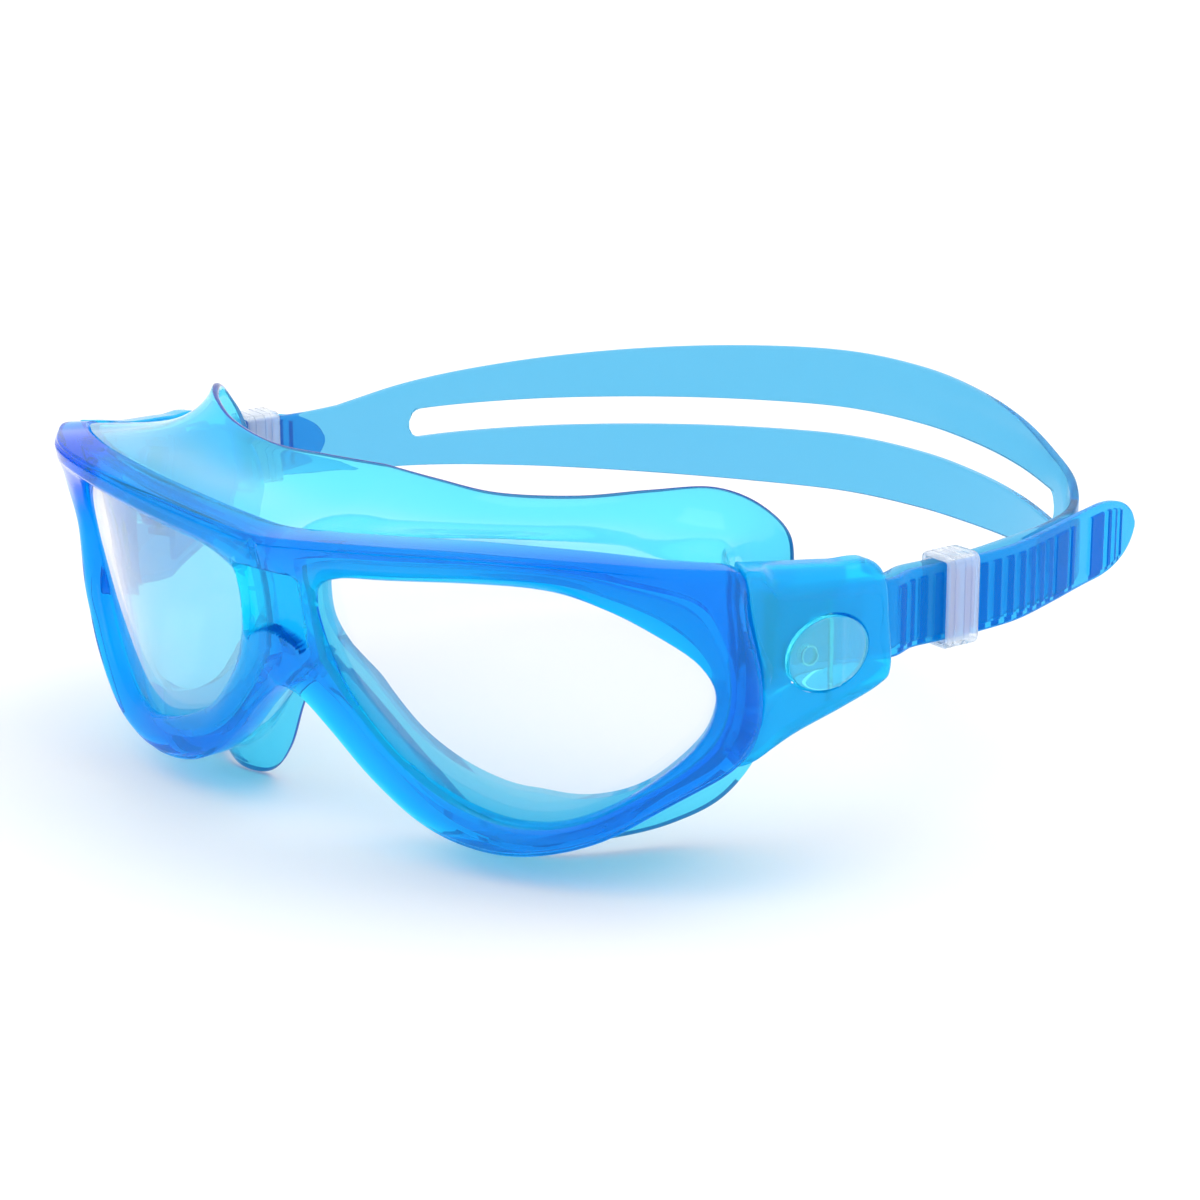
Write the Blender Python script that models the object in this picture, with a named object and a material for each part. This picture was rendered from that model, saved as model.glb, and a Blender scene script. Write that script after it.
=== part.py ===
"""Swim goggles, junior mask type, as an assembly of separate pieces.

Frame of reference: the wearer looks along -Y, +X is the wearer's left and +Z is up. The origin lies on
the plane of symmetry, in the middle of the face opening. Lengths are in millimetres until mesh_object().

The front is drawn as a flat pattern (s, z): s is the distance round the front from the middle, and z is
the height. surface() bends the pattern round the face and pushes it out along its normal by d.
"""

import math

import bmesh
import bpy
import numpy as np
from mathutils import Vector

MM = 0.001
GAP = 0.3

# Plan of the front: its heading in degrees at distances s from the middle, and its forward lean.
FRONT_Y = -30.6
HEADINGS = ((0, 0), (10, 3), (25, 6), (35, 12), (42, 19), (52, 29), (64, 36), (74, 44), (82, 76), (110, 76))
PLAN_STEP = 0.5
LEAN = 0.17
LEAN_FADE = (70, 84)

# Flat pattern: pairs of a window point and the frame's outer point, from the top of the nose bridge
# round the temple to the bottom of the bridge. The pairs after that close the ring on the middle line.
RIM_PAIRS = (
    ((8.8, 13.6), (0, 21.3)),
    ((14, 16.0), (10, 22.1)),
    ((23, 17.3), (22, 23.4)),
    ((38, 19.2), (38, 24.9)),
    ((49, 19.3), (52, 24.9)),
    ((57.2, 16.7), (64, 23.7)),
    ((64.5, 12.7), (74.7, 21.3)),
    ((70.6, 8.0), (77.6, 14.6)),
    ((73.2, 2.5), (79.9, 5.4)),
    ((71.5, -4), (79.7, -2.8)),
    ((66, -9.8), (76, -8.9)),
    ((58, -15.4), (66, -15.4)),
    ((50, -18.8), (55, -21.9)),
    ((42, -19.6), (43, -25.2)),
    ((34, -18.3), (32.5, -25.1)),
    ((26, -15.5), (23.7, -22.5)),
    ((19.5, -11.8), (15.4, -16.9)),
    ((14, -6.3), (8.6, -10.5)),
    ((10.8, -1.6), (4.1, -6.6)),
    ((8.9, 3.2), (0, -4.2)),
    ((7.9, 7.5), (0, 4)),
    ((7.7, 10.8), (0, 13)),
)
LAST_PAIR = 19
RISE_GAP = 1.6
STEPS = 2

# Front of the frame: depth at shares of the way from the window to the outer edge, for the lower rim,
# for the brow bar and for the middle line. The nose panel is a flat recess between the windows.
ACROSS = (0, 0.22, 0.55, 0.85, 1)
RIM_FRONT = (0.3, 1.6, 2.4, 2.1, 0.6)
BROW_FRONT = (0.3, 2.3, 3.3, 2.7, -0.2)
MIDDLE_FRONT = (0.3, 1.9, 2.5, 2.9, 3.0)
BROW_FADE = (3.8, 6.6)
BEVEL = (1.0, 3.6)
TEMPLE_PAIR = 6
TEMPLE_SPREAD = 1.8
TEMPLE_DROP = 1.5
PANEL_DEPTH = 0.4
PANEL_Z = (4.4, 13.6)
PANEL_EDGE = 1.4
FRAME_LIP = -1.4
FRAME_REAR = -4.2
REBATE = 0.5

LENS_EDGE = 0.4
LENS_FACES = (-1.7, -3.5)
LENS_RINGS = (1, 0.86, 0.64, 0.33)

# Face seal: the rim that meets the face, one point for each pair as far as the bottom of the bridge.
SEAL_RIM = (
    (0, -8, 26.3),
    (12, -9, 26.2),
    (24, -8.5, 25.9),
    (37, -5, 26.9),
    (47, 0.5, 28.4),
    (54, 7.2, 28.6),
    (58.4, 13.5, 25.2),
    (60.2, 18.6, 19.2),
    (58.6, 20.6, 9),
    (57.4, 18.6, -3),
    (55.8, 18, -14),
    (52.8, 12.2, -22),
    (47.2, 5.4, -26.2),
    (41.5, -3.5, -27.6),
    (36, -9.2, -28.3),
    (30, -11.6, -29.6),
    (24, -11.3, -28.9),
    (17.5, -13.2, -22.8),
    (9.5, -17.3, -11.5),
    (0, -20.5, -1),
)
SEAL_INSET = 0.35
SEAL_WALL = 1.3
SEAL_LIP = 0.12
CHEEK_PAIRS = (10.3, 13, 17.4, 20.3)
CHEEK_REACH = 4.8
SEAL_STEP = (0.34, 0.4)
SEAL_DEPTHS = (-3.8, -4.5, -5.9)
SEAL_ROWS = 5
SEAL_STRAIGHT = 0.38
SEAL_FLARE = 0.34
FLARE_BACK = 0.7

# Buckle housing: its outline in (s, z) from the foot of the seam, and the depths of its shell.
HOUSING_OUTLINE = (
    (77.4, -8.3),
    (80.7, -2.8),
    (80.95, 5.4),
    (78.9, 14.4),
    (77.0, 21.6),
    (86, 20.9),
    (101, 18.8),
    (105.2, 15.5),
    (106.4, 8),
    (106.2, 1.4),
    (103.5, -0.6),
    (96, -2.9),
    (87, -5.2),
)
HOUSING_SPINE = (84, 101, 6.5)
HOUSING_WALL = 1.4
HOUSING_DEPTHS = (6.2, 11.7)
HOUSING_DEEPEN = (80.8, 84.8)
SHOULDER = (1.2, 3.6)
TOP_DEPTH = 5.6
SLOT_OPENING = ((103, 108), (-1.5, -7.6), (2.0, 15.8))

# Pieces inside the buckle, placed by their distance along the front (s), their depth (d) and z.
BUTTON_CENTRE = (92.8, 6.6)
BUTTON_RADII = (7.7, 5.7)
BUTTON_CLEARANCE = 0.6
BUTTON_FACES = (0.6, -1.2)
BUTTON_RIM = 0.15
BUTTON_SIDES = 28
PIVOT = (94.8, -2.4)
PIN_RADIUS = 0.45
PIN_Z = (-1.9, 13.9)
BOSS_Z = ((-2.3, -1.0), (13.0, 14.4))
BOSS_HALF = 1.1
BARREL_RADIUS = 1.0
BARREL_BORE = 0.75
BARREL_Z = (1.0, 11.0)
PAWL = (3.4, -2.9)
PAWL_Z = (2.0, 10.0)
SPRING_S = 89.8
SPRING_RADIUS = 1.5
SPRING_WIRE = 0.2
SPRING_TURNS = 3
SPRING_FACES = (-0.75, -2.45)
SPRING_SEAT = (2.0, -0.3)
SHELF = ((87.6, 91.8), (-2.8, -3.4), (-4.6, 18.4))
ROLLER = (87.4, -7.15)
ROLLER_RADIUS = 1.2
ROLLER_BORE = 0.85
ROLLER_PIN_RADIUS = 0.55
ROLLER_Z = (2.3, 15.5)
ROLLER_PIN_Z = (0.7, 17.1)
COVER_FACES = (-10.45, -11.65)
COVER_OUTLINE = ((85.9, -3.2), (104.4, 1.9), (104.4, 15.2), (101, 16.9), (85.9, 18.4))
LUG_S = (85.9, 88.9)
LUG_TOP = -5.9
LUG_Z = ((0.8, 1.9), (15.9, 17.0))
LUG_BORE = 0.85

# Head strap: plan points in (x, y) on the +X side, round the back, and on the -X side.
STRAP_Z = 8.9
STRAP_HEIGHT = 12.4
STRAP_THICKNESS = 1.5
TIP_LENGTH = 14
BAND_HEIGHT = 26.8
BAND_TAPER = 16
BAND_SKEW = 0.88
SLOT_HEIGHT = 5.4
SLOT_ROUND = 4
RIB_HEIGHT = 0.45
TAIL_IN_BUCKLE = ((107, -2.7), (100.5, -4.9), (94.5, -4.9))
INNER_IN_BUCKLE = ((93, -9.1), (100, -7.2), (107, -5.3))
WRAP_RADIUS = 2.25
LAYER_OFFSET = 2.45
LEFT_RUN = ((72.95, 29.5), (76.3, 44.0))
RIGHT_RUN = ((70.9, 28.6), (67.3, 44.0))
RUN_SHARES = (0, 0.33, 0.67, 1)
LEFT_TAIL = ((79.6, 52), (78.6, 63), (77.2, 74), (76.2, 84), (75.2, 93))
RIGHT_TAIL = ((69.4, 45.5), (68.9, 48))
BACK = (
    (76.7, 54),
    (76.6, 65),
    (74.2, 76),
    (67.5, 86.5),
    (57.5, 95.5),
    (45, 105),
    (31, 113),
    (15, 119),
    (-3, 120.5),
    (-20, 114.5),
    (-36, 104.5),
    (-50, 91.5),
    (-59.5, 78),
    (-64.5, 66),
    (-66.3, 54),
)
SLOT_ENDS = ((61, 92.5), (-64.5, 66))
STRAP_STEPS = 3
LEFT_KEEPER = 0.62
RIGHT_KEEPER = 0.3
KEEPER_LENGTH = 6.4
KEEPER_WALL = 0.9
KEEPER_GAP = 0.3


def clear_scene():
    for obj in list(bpy.data.objects):
        bpy.data.objects.remove(obj, do_unlink=True)


def material(name, colour, roughness, alpha=1.0):
    made = bpy.data.materials.new(name)
    made.use_nodes = True
    shader = made.node_tree.nodes["Principled BSDF"]
    shader.inputs["Base Color"].default_value = (*colour, 1)
    shader.inputs["Roughness"].default_value = roughness
    shader.inputs["Metallic"].default_value = 0.0
    shader.inputs["Alpha"].default_value = alpha
    return made


def smooth_step(low, high, value):
    ratio = np.clip((np.asarray(value, float) - low) / (high - low), 0, 1)
    return ratio * ratio * (3 - 2 * ratio)


def spline(points, steps, closed=False, mirrored=False):
    """Catmull-Rom curve through the points, with the same number of steps between each two."""
    knots = np.array(points, float)
    if closed:
        padded = np.vstack([knots[-1:], knots, knots[:2]])
    elif mirrored:
        padded = np.vstack([knots[1] * (-1, 1), knots, knots[-2] * (-1, 1)])
    else:
        padded = np.vstack([2 * knots[0] - knots[1], knots, 2 * knots[-1] - knots[-2]])
    curve = []
    for a, b, c, d in zip(padded, padded[1:], padded[2:], padded[3:]):
        for t in np.arange(steps) / steps:
            bend = (2 * a - 5 * b + 4 * c - d) * t * t + (3 * b - a - 3 * c + d) * t**3
            curve.append(b + 0.5 * ((c - a) * t + bend))
    if not closed:
        curve.append(knots[-1])
    return np.array(curve)


def plan_table():
    """Columns of distance, x, y and heading at small steps round the front."""
    s = np.arange(0, 112, PLAN_STEP)
    stations, degrees = zip(*HEADINGS)
    heading = np.radians(np.interp(s, stations, degrees))
    heading = np.convolve(np.pad(heading, 4, mode="edge"), np.ones(9) / 9, mode="valid")
    heading[0] = 0
    middle = (heading[1:] + heading[:-1]) / 2
    x = np.concatenate([[0], np.cumsum(np.cos(middle) * PLAN_STEP)])
    y = FRONT_Y + np.concatenate([[0], np.cumsum(np.sin(middle) * PLAN_STEP)])
    return s, x, y, heading


PLAN = plan_table()


def surface(s, z, d):
    """World points of the pattern points (s, z) pushed out by d, for s >= 0."""
    s, z, d = np.broadcast_arrays(np.asarray(s, float), z, d)
    x, y, heading = (np.interp(s, PLAN[0], column) for column in PLAN[1:])
    out = d + LEAN * (1 - smooth_step(*LEAN_FADE, s)) * z
    return np.stack([x + np.sin(heading) * out, y - np.cos(heading) * out, z], axis=-1)


def inward(s):
    """Unit vector from the front into the head at the distance s."""
    heading = np.interp(s, PLAN[0], PLAN[3])
    return np.array([-math.sin(heading), math.cos(heading), 0])


def rim_stations(inset=0.0):
    """Window points and outer points round one eye, with the outer edge moved in by inset."""
    window = spline([pair[0] for pair in RIM_PAIRS], STEPS, closed=True)
    outer = spline([pair[1] for pair in RIM_PAIRS[: LAST_PAIR + 1]], STEPS, mirrored=True)
    slope = np.gradient(outer, axis=0)
    normal = np.stack([-slope[:, 1], slope[:, 0]], axis=1)
    normal /= np.linalg.norm(normal, axis=1)[:, None]
    normal[[0, -1]] = (0, 1), (0, -1)
    outer = outer - normal * inset
    ends = outer[-1] + (0, RISE_GAP), outer[0] - (0, RISE_GAP)
    rise = np.linspace(*ends, (len(RIM_PAIRS) - LAST_PAIR) * STEPS - 1)
    outer = np.vstack([outer, rise])
    outer[:, 0] = np.maximum(outer[:, 0], 0)
    return window, outer, normal


def mesh_object(name, points, faces, finish, origin=(0, 0, 0)):
    """A closed mesh object with outward faces, from points in millimetres."""
    mesh = bmesh.new()
    corners = [mesh.verts.new((Vector(point) - Vector(origin)) * MM) for point in points]
    for face in faces:
        mesh.faces.new([corners[index] for index in face])
    loose = [corner for corner in corners if not corner.link_faces]
    bmesh.ops.delete(mesh, geom=loose, context="VERTS")
    bmesh.ops.remove_doubles(mesh, verts=mesh.verts, dist=1e-6)
    bmesh.ops.recalc_face_normals(mesh, faces=mesh.faces)
    data = bpy.data.meshes.new(name)
    mesh.to_mesh(data)
    mesh.free()
    data.shade_smooth()
    data.set_sharp_from_angle(angle=math.radians(35))
    if finish:
        data.materials.append(finish)
    obj = bpy.data.objects.new(name, data)
    obj.location = Vector(origin) * MM
    bpy.context.collection.objects.link(obj)
    return obj


def grid_faces(loops, count, around=True, skip=lambda loop, index: False):
    """Quads between loops of count points each. The loops close on themselves, and so may the row."""
    faces = []
    for loop in range(loops if around else loops - 1):
        here, there = loop * count, (loop + 1) % loops * count
        for index in range(count):
            ahead = (index + 1) % count
            if not skip(loop, index):
                faces.append((here + index, there + index, there + ahead, here + ahead))
    return faces


def both_halves(points, faces):
    """The half at +X with its mirror image, which meets it at x = 0."""
    count = len(points)
    return np.vstack([points, points * (-1, 1, 1)]), faces + [[i + count for i in face] for face in faces]


def near_temple(pair):
    """One at the top corner of the temple, fading to nothing away from it."""
    return math.exp(-(((pair - TEMPLE_PAIR) / TEMPLE_SPREAD) ** 2))


def front_depths(pair, window, outer):
    """Depths of the frame's front along one section, with the nose panel sunk into it."""
    last = len(RIM_PAIRS)
    brow = float(1 - smooth_step(*BROW_FADE, pair) + smooth_step(LAST_PAIR + 1.5, last, pair))
    middle = float(smooth_step(LAST_PAIR, LAST_PAIR + 0.5, pair) - smooth_step(last - 0.5, last, pair))
    depths = np.array(BROW_FRONT) * brow + np.array(RIM_FRONT) * (1 - brow)
    depths = depths * (1 - middle) + np.array(MIDDLE_FRONT) * middle
    depths = depths - TEMPLE_DROP * near_temple(pair) * np.array(ACROSS)
    points = window + (outer - window) * np.array(ACROSS)[:, None]
    low, high = PANEL_Z
    z = points[:, 1]
    panel = smooth_step(low - PANEL_EDGE, low, z) * (1 - smooth_step(high, high + PANEL_EDGE, z))
    panel = panel * (points[:, 0] < window[0]) * (window[0] < 12)
    return points, depths * (1 - panel) + PANEL_DEPTH * panel


def front_frame(finish):
    """One ring round each eye, joined along the middle of the nose bridge."""
    window, outer, normal = rim_stations()
    rings = []
    for index, (inner_edge, outer_edge) in enumerate(zip(window, outer)):
        pair = index / STEPS
        bevel = 0.0
        if index < len(normal):
            bevel = BEVEL[0] + (BEVEL[1] - BEVEL[0]) * near_temple(pair)
            front_edge = outer_edge - normal[index] * bevel
        else:
            front_edge = outer_edge
        points, depths = front_depths(pair, inner_edge, front_edge)
        side_depth = max(depths[-1] - bevel, FRAME_REAR + 0.5)
        rebate = inner_edge + (outer_edge - inner_edge) * REBATE
        rear = [(outer_edge, side_depth), (outer_edge, FRAME_REAR), (rebate, FRAME_REAR)]
        rear += [(rebate, FRAME_LIP), (inner_edge, FRAME_LIP)]
        ring = list(zip(points, depths)) + rear
        rings.append([surface(point[0], point[1], depth) for point, depth in ring])
    count = len(rings[0])
    wall = len(ACROSS) - 1
    skip = lambda loop, index: loop >= LAST_PAIR * STEPS and index in (wall, wall + 1)
    faces = grid_faces(len(rings), count, skip=skip)
    return mesh_object("front_frame", *both_halves(np.array(rings).reshape(-1, 3), faces), finish)


def lens(name, side, finish):
    """A thin plate bent like the front, seated in the frame's rebate."""
    window, outer, _ = rim_stations()
    edge = window + (outer - window) * LENS_EDGE
    middle = edge.mean(axis=0)
    front, back = LENS_FACES
    loops = [(share, front) for share in LENS_RINGS[::-1]] + [(share, back) for share in LENS_RINGS]
    rows = []
    for share, depth in loops:
        loop = middle + (edge - middle) * share
        rows.append(surface(loop[:, 0], loop[:, 1], depth))
    count = len(edge)
    caps = [surface(*middle, front)[None], surface(*middle, back)[None]]
    points = np.vstack(rows + caps)
    faces = grid_faces(len(rows), count, around=False)
    tip, tail = len(rows) * count, (len(rows) - 1) * count
    for index in range(count):
        ahead = (index + 1) % count
        faces.append((tip, index, ahead))
        faces.append((tip + 1, tail + ahead, tail + index))
    return mesh_object(name, points * (side, 1, 1), faces, finish)


def seal_walls(outer, normal):
    """Outer and inner skin of the skirt, as rows of points from the frame to the rim."""
    rim = spline(SEAL_RIM, STEPS)
    skin = []
    for (s, z), (out_s, out_z), end in zip(outer, normal, rim):
        start = surface(s, z, SEAL_DEPTHS[1])
        heading = np.interp(s, PLAN[0], PLAN[3])
        flare = np.array([out_s * math.cos(heading), out_s * math.sin(heading) + FLARE_BACK, out_z])
        flare /= np.linalg.norm(flare)
        length = np.linalg.norm(end - start)
        first = start + inward(s) * length * SEAL_STRAIGHT
        second = end - flare * length * SEAL_FLARE
        row = []
        for t in np.arange(1, SEAL_ROWS + 1) / SEAL_ROWS:
            near_half = (1 - t) ** 3 * start + 3 * t * (1 - t) ** 2 * first
            row.append(near_half + 3 * t * t * (1 - t) * second + t**3 * end)
        skin.append([start] + row)
    skin = np.array(skin)
    skin[[0, -1], :, 0] = 0
    across = np.cross(np.gradient(skin, axis=0), np.gradient(skin, axis=1))
    across /= np.linalg.norm(across, axis=2)[:, :, None]
    across[[0, -1], :, 0] = 0
    return skin, skin - across * SEAL_WALL


def flange_lip(window, outer):
    """Edge of the flange round each window: just outside it, but reaching past it along the cheek."""
    travel = np.roll(window, -1, axis=0) - np.roll(window, 1, axis=0)
    toward = np.stack([travel[:, 1], -travel[:, 0]], axis=1) / np.linalg.norm(travel, axis=1)[:, None]
    pairs = np.arange(len(window)) / STEPS
    start, full, fade, end = CHEEK_PAIRS
    reach = smooth_step(start, full, pairs) - smooth_step(fade, end, pairs)
    return window + (outer - window) * SEAL_LIP + toward * CHEEK_REACH * reach[:, None]


def face_seal(finish):
    """A flange behind both lenses, with one skirt round the outside that flares towards its rim."""
    window, outer, normal = rim_stations(SEAL_INSET)
    skin, lining = seal_walls(outer, normal)
    lip_depth, front_depth, rear_depth = SEAL_DEPTHS
    lip = flange_lip(window, outer)
    rings = []
    for index, (inner_edge, outer_edge) in enumerate(zip(window, outer)):
        ring = [surface(*lip[index], lip_depth)]
        for share, depth in ((SEAL_STEP[0], lip_depth), (SEAL_STEP[1], front_depth)):
            ring.append(surface(*(inner_edge + (outer_edge - inner_edge) * share), depth))
        if index < len(skin):
            ring += list(skin[index]) + list(lining[index, :0:-1])
            inner_corner = outer_edge - normal[index] * SEAL_WALL
        else:
            ring += [surface(*outer_edge, front_depth)] * (2 * SEAL_ROWS + 1)
            inner_corner = outer_edge
        ring.append(surface(*inner_corner, rear_depth))
        ring.append(surface(*lip[index], rear_depth))
        rings.append(ring)
    count = len(rings[0])
    skip = lambda loop, index: loop >= LAST_PAIR * STEPS and 3 <= index < count - 2
    faces = grid_faces(len(rings), count, skip=skip)
    return mesh_object("face_seal", *both_halves(np.array(rings).reshape(-1, 3), faces), finish)


def block(s_range, d_range, z_range, side, name="tool"):
    """A block between ranges of distance, depth and height, bent with the front."""
    corners = [surface(s, z, d) * (side, 1, 1) for s in s_range for d in d_range for z in z_range]
    faces = [(0, 1, 3, 2), (4, 6, 7, 5), (0, 4, 5, 1), (2, 3, 7, 6), (0, 2, 6, 4), (1, 5, 7, 3)]
    return mesh_object(name, corners, faces, None)


def prism(outline, depths, side, name="tool", finish=None):
    """A plate with an outline in (s, z) between two depths."""
    outline = np.array(outline, float)
    count = len(outline)
    points = np.vstack([surface(outline[:, 0], outline[:, 1], depth) for depth in depths]) * (side, 1, 1)
    faces = [list(range(count)), list(range(2 * count - 1, count - 1, -1))]
    faces += [(i, (i + 1) % count, count + (i + 1) % count, count + i) for i in range(count)]
    return mesh_object(name, points, faces, finish)


def rod(axis, radius, z_range, side, name="tool", finish=None, sides=16, bore=0.0):
    """An upright cylinder about the point (s, d), or a tube if it has a bore. Its origin is on its axis."""
    centre = surface(axis[0], 0, axis[1]) * (side, 1, 1)
    radii = [radius, radius, bore, bore] if bore else [radius, radius]
    heights = [z_range[0], z_range[1], z_range[1], z_range[0]][: len(radii)]
    points = []
    for ring_radius, height in zip(radii, heights):
        for turn in np.arange(sides) * 2 * math.pi / sides:
            x, y = centre[0] + ring_radius * math.cos(turn), centre[1] + ring_radius * math.sin(turn)
            points.append((x, y, height))
    faces = grid_faces(len(radii), sides, around=bool(bore))
    if not bore:
        faces += [list(range(sides)), list(range(2 * sides - 1, sides - 1, -1))]
    origin = (centre[0], centre[1], STRAP_Z)
    return mesh_object(name, points, faces, finish, origin)


def combine(obj, tool, operation):
    """Apply a Boolean with the tool, then drop the tool."""
    modifier = obj.modifiers.new(tool.name, "BOOLEAN")
    modifier.operation = operation
    modifier.object = tool
    graph = bpy.context.evaluated_depsgraph_get()
    data = bpy.data.meshes.new_from_object(obj.evaluated_get(graph))
    obj.modifiers.clear()
    obj.data = data
    bpy.data.objects.remove(tool, do_unlink=True)
    data.shade_smooth()
    data.set_sharp_from_angle(angle=math.radians(35))


def ellipse(centre, radii, sides=BUTTON_SIDES):
    turns = np.arange(sides) * 2 * math.pi / sides
    return np.array(centre) + np.stack([np.cos(turns), np.sin(turns)], axis=1) * radii


def housing_shell(name, side, finish):
    """An open box with a rounded outer face, widest at its top shoulder."""
    outline = spline(HOUSING_OUTLINE, STEPS, closed=True)
    low, high, height = HOUSING_SPINE
    spine = np.stack([np.clip(outline[:, 0], low, high), np.full(len(outline), height)], axis=1)
    toward = (spine - outline) / np.linalg.norm(spine - outline, axis=1)[:, None]
    top = np.maximum(0, -toward[:, 1]) ** 3
    shoulder = SHOULDER[0] + (SHOULDER[1] - SHOULDER[0]) * top
    shallow, deep = HOUSING_DEPTHS
    depth = shallow + (deep - shallow) * smooth_step(*HOUSING_DEEPEN, outline[:, 0])
    depth = depth * (1 - top) + TOP_DEPTH * top
    wall = HOUSING_WALL
    loops = [
        (shoulder, 0 * depth),
        (shoulder * 0.35, -shoulder * 0.3),
        (0 * depth, -shoulder),
        (0 * depth, -depth),
        (0 * depth + wall, -depth),
        (0 * depth + wall, -shoulder - wall * 0.4),
        (shoulder * 0.35 + wall, -shoulder * 0.3 - wall),
        (shoulder + wall, 0 * depth - wall),
    ]
    rows = []
    for inset, out in loops:
        loop = outline + toward * inset[:, None]
        rows.append(surface(loop[:, 0], loop[:, 1], out))
    count = len(outline)
    faces = grid_faces(len(rows), count, around=False)
    last = (len(rows) - 1) * count
    faces += [list(range(count)), list(range(last + count - 1, last - 1, -1))]
    return mesh_object(name, np.vstack(rows) * (side, 1, 1), faces, finish)


def buckle_housing(name, side, finish):
    """The shell with its button opening, strap opening, pin bosses and spring shelf."""
    housing = housing_shell(name, side, finish)
    s_pivot, d_pivot = PIVOT
    boss_s = s_pivot - BOSS_HALF, s_pivot + BOSS_HALF
    for z_range in BOSS_Z:
        combine(housing, block(boss_s, (-1.0, d_pivot - 1.0), z_range, side), "UNION")
    combine(housing, block(*SHELF, side), "UNION")
    grown = np.array(BUTTON_RADII) + BUTTON_CLEARANCE
    combine(housing, prism(ellipse(BUTTON_CENTRE, grown), (2, -2), side), "DIFFERENCE")
    combine(housing, block(*SLOT_OPENING, side), "DIFFERENCE")
    low, high = PIN_Z
    combine(housing, rod(PIVOT, PIN_RADIUS + 0.3, (low - GAP, high + GAP), side), "DIFFERENCE")
    return housing


def buckle_cover(name, side, finish):
    """The inner plate, with two lugs that hold the roller's pin."""
    cover = prism(COVER_OUTLINE, COVER_FACES, side, name, finish)
    for z_range in LUG_Z:
        combine(cover, block(LUG_S, (LUG_TOP, COVER_FACES[0] - 0.4), z_range, side), "UNION")
    combine(cover, rod(ROLLER, LUG_BORE, (LUG_Z[0][0] - 1, LUG_Z[1][1] + 1), side), "DIFFERENCE")
    return cover


def release_button(name, side, finish):
    """A domed oval rocker, with a spring seat, a barrel for its pin, and a pawl for the strap's ribs."""
    top, bottom = BUTTON_FACES
    rows = []
    for share, depth in ((1, bottom), (1, BUTTON_RIM), (0.93, top * 0.75), (0.6, top)):
        loop = ellipse(BUTTON_CENTRE, np.array(BUTTON_RADII) * share)
        rows.append(surface(loop[:, 0], loop[:, 1], depth) * (side, 1, 1))
    last = (len(rows) - 1) * BUTTON_SIDES
    faces = grid_faces(len(rows), BUTTON_SIDES, around=False)
    faces += [list(range(BUTTON_SIDES)), list(range(last + BUTTON_SIDES - 1, last - 1, -1))]
    origin = surface(PIVOT[0], 0, PIVOT[1]) * (side, 1, 1)
    button = mesh_object(name, np.vstack(rows), faces, finish, (origin[0], origin[1], STRAP_Z))
    combine(button, rod(PIVOT, BARREL_RADIUS, BARREL_Z, side), "UNION")
    s_pivot, d_pivot = PIVOT
    web = block((s_pivot - 0.7, s_pivot + 0.7), (bottom + 0.4, d_pivot + 0.2), BARREL_Z, side)
    combine(button, web, "UNION")
    reach, tip = PAWL
    root = [(s_pivot, bottom + 0.3), (s_pivot, d_pivot - 0.4)]
    pawl = root + [(s_pivot + reach, tip), (s_pivot + reach + 0.4, bottom + 0.3)]
    corners = [surface(s, z, d) * (side, 1, 1) for z in PAWL_Z for s, d in pawl]
    faces = [(0, 1, 2, 3), (7, 6, 5, 4), (0, 4, 5, 1), (1, 5, 6, 2), (2, 6, 7, 3), (3, 7, 4, 0)]
    combine(button, mesh_object("tool", corners, faces, None), "UNION")
    combine(button, rod(PIVOT, BARREL_BORE, (BARREL_Z[0] - 1, BARREL_Z[1] + 1), side), "DIFFERENCE")
    radius, depth = SPRING_SEAT
    seat = ellipse((SPRING_S, BUTTON_CENTRE[1]), (radius, radius), 16)
    combine(button, prism(seat, (depth, bottom - 1), side), "DIFFERENCE")
    return button


def button_spring(name, side, finish):
    """A small coil between the button's seat and the housing's shelf."""
    top, bottom = SPRING_FACES
    sides, per_turn = 6, 10
    total = SPRING_TURNS * per_turn
    points = []
    for step in range(total + 1):
        turn = 2 * math.pi * step / per_turn
        depth = bottom + SPRING_WIRE + (top - bottom - 2 * SPRING_WIRE) * step / total
        for corner in np.arange(sides) * 2 * math.pi / sides:
            reach = SPRING_RADIUS + SPRING_WIRE * math.cos(corner)
            s, z = SPRING_S + reach * math.cos(turn), BUTTON_CENTRE[1] + reach * math.sin(turn)
            points.append(surface(s, z, depth + SPRING_WIRE * math.sin(corner)) * (side, 1, 1))
    faces = grid_faces(total + 1, sides, around=False)
    last = total * sides
    faces += [list(range(sides)), list(range(last + sides - 1, last - 1, -1))]
    return mesh_object(name, points, faces, finish)


def flat(s, d):
    """The plan point of (s, d) in the buckle."""
    return tuple(surface(s, 0, d)[:2])


def run_frame(run):
    """Start of a straight run of the strap, its length, and its unit vectors along and outwards."""
    near, far = np.array(run)
    length = np.linalg.norm(far - near)
    along = (far - near) / length
    return near, length, along, np.array([along[1], -along[0]])


def side_run(run, tail_end):
    """Plan points of one end of the strap: the tail, the turn round the roller, and the inner layer."""
    near, length, along, out = run_frame(run)
    straight = [near + along * length * share for share in RUN_SHARES]
    tail = list(tail_end[::-1]) + [tuple(point + out * LAYER_OFFSET) for point in straight[::-1]]
    tail += [flat(*point) for point in TAIL_IN_BUCKLE]
    s_roller, d_roller = ROLLER
    wrap = []
    for degrees in (0, 45, 90, 135, 180):
        turn = math.radians(degrees)
        wrap.append(flat(s_roller - WRAP_RADIUS * math.sin(turn), d_roller + WRAP_RADIUS * math.cos(turn)))
    return tail + wrap + [flat(*point) for point in INNER_IN_BUCKLE] + [tuple(point) for point in straight]


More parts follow.
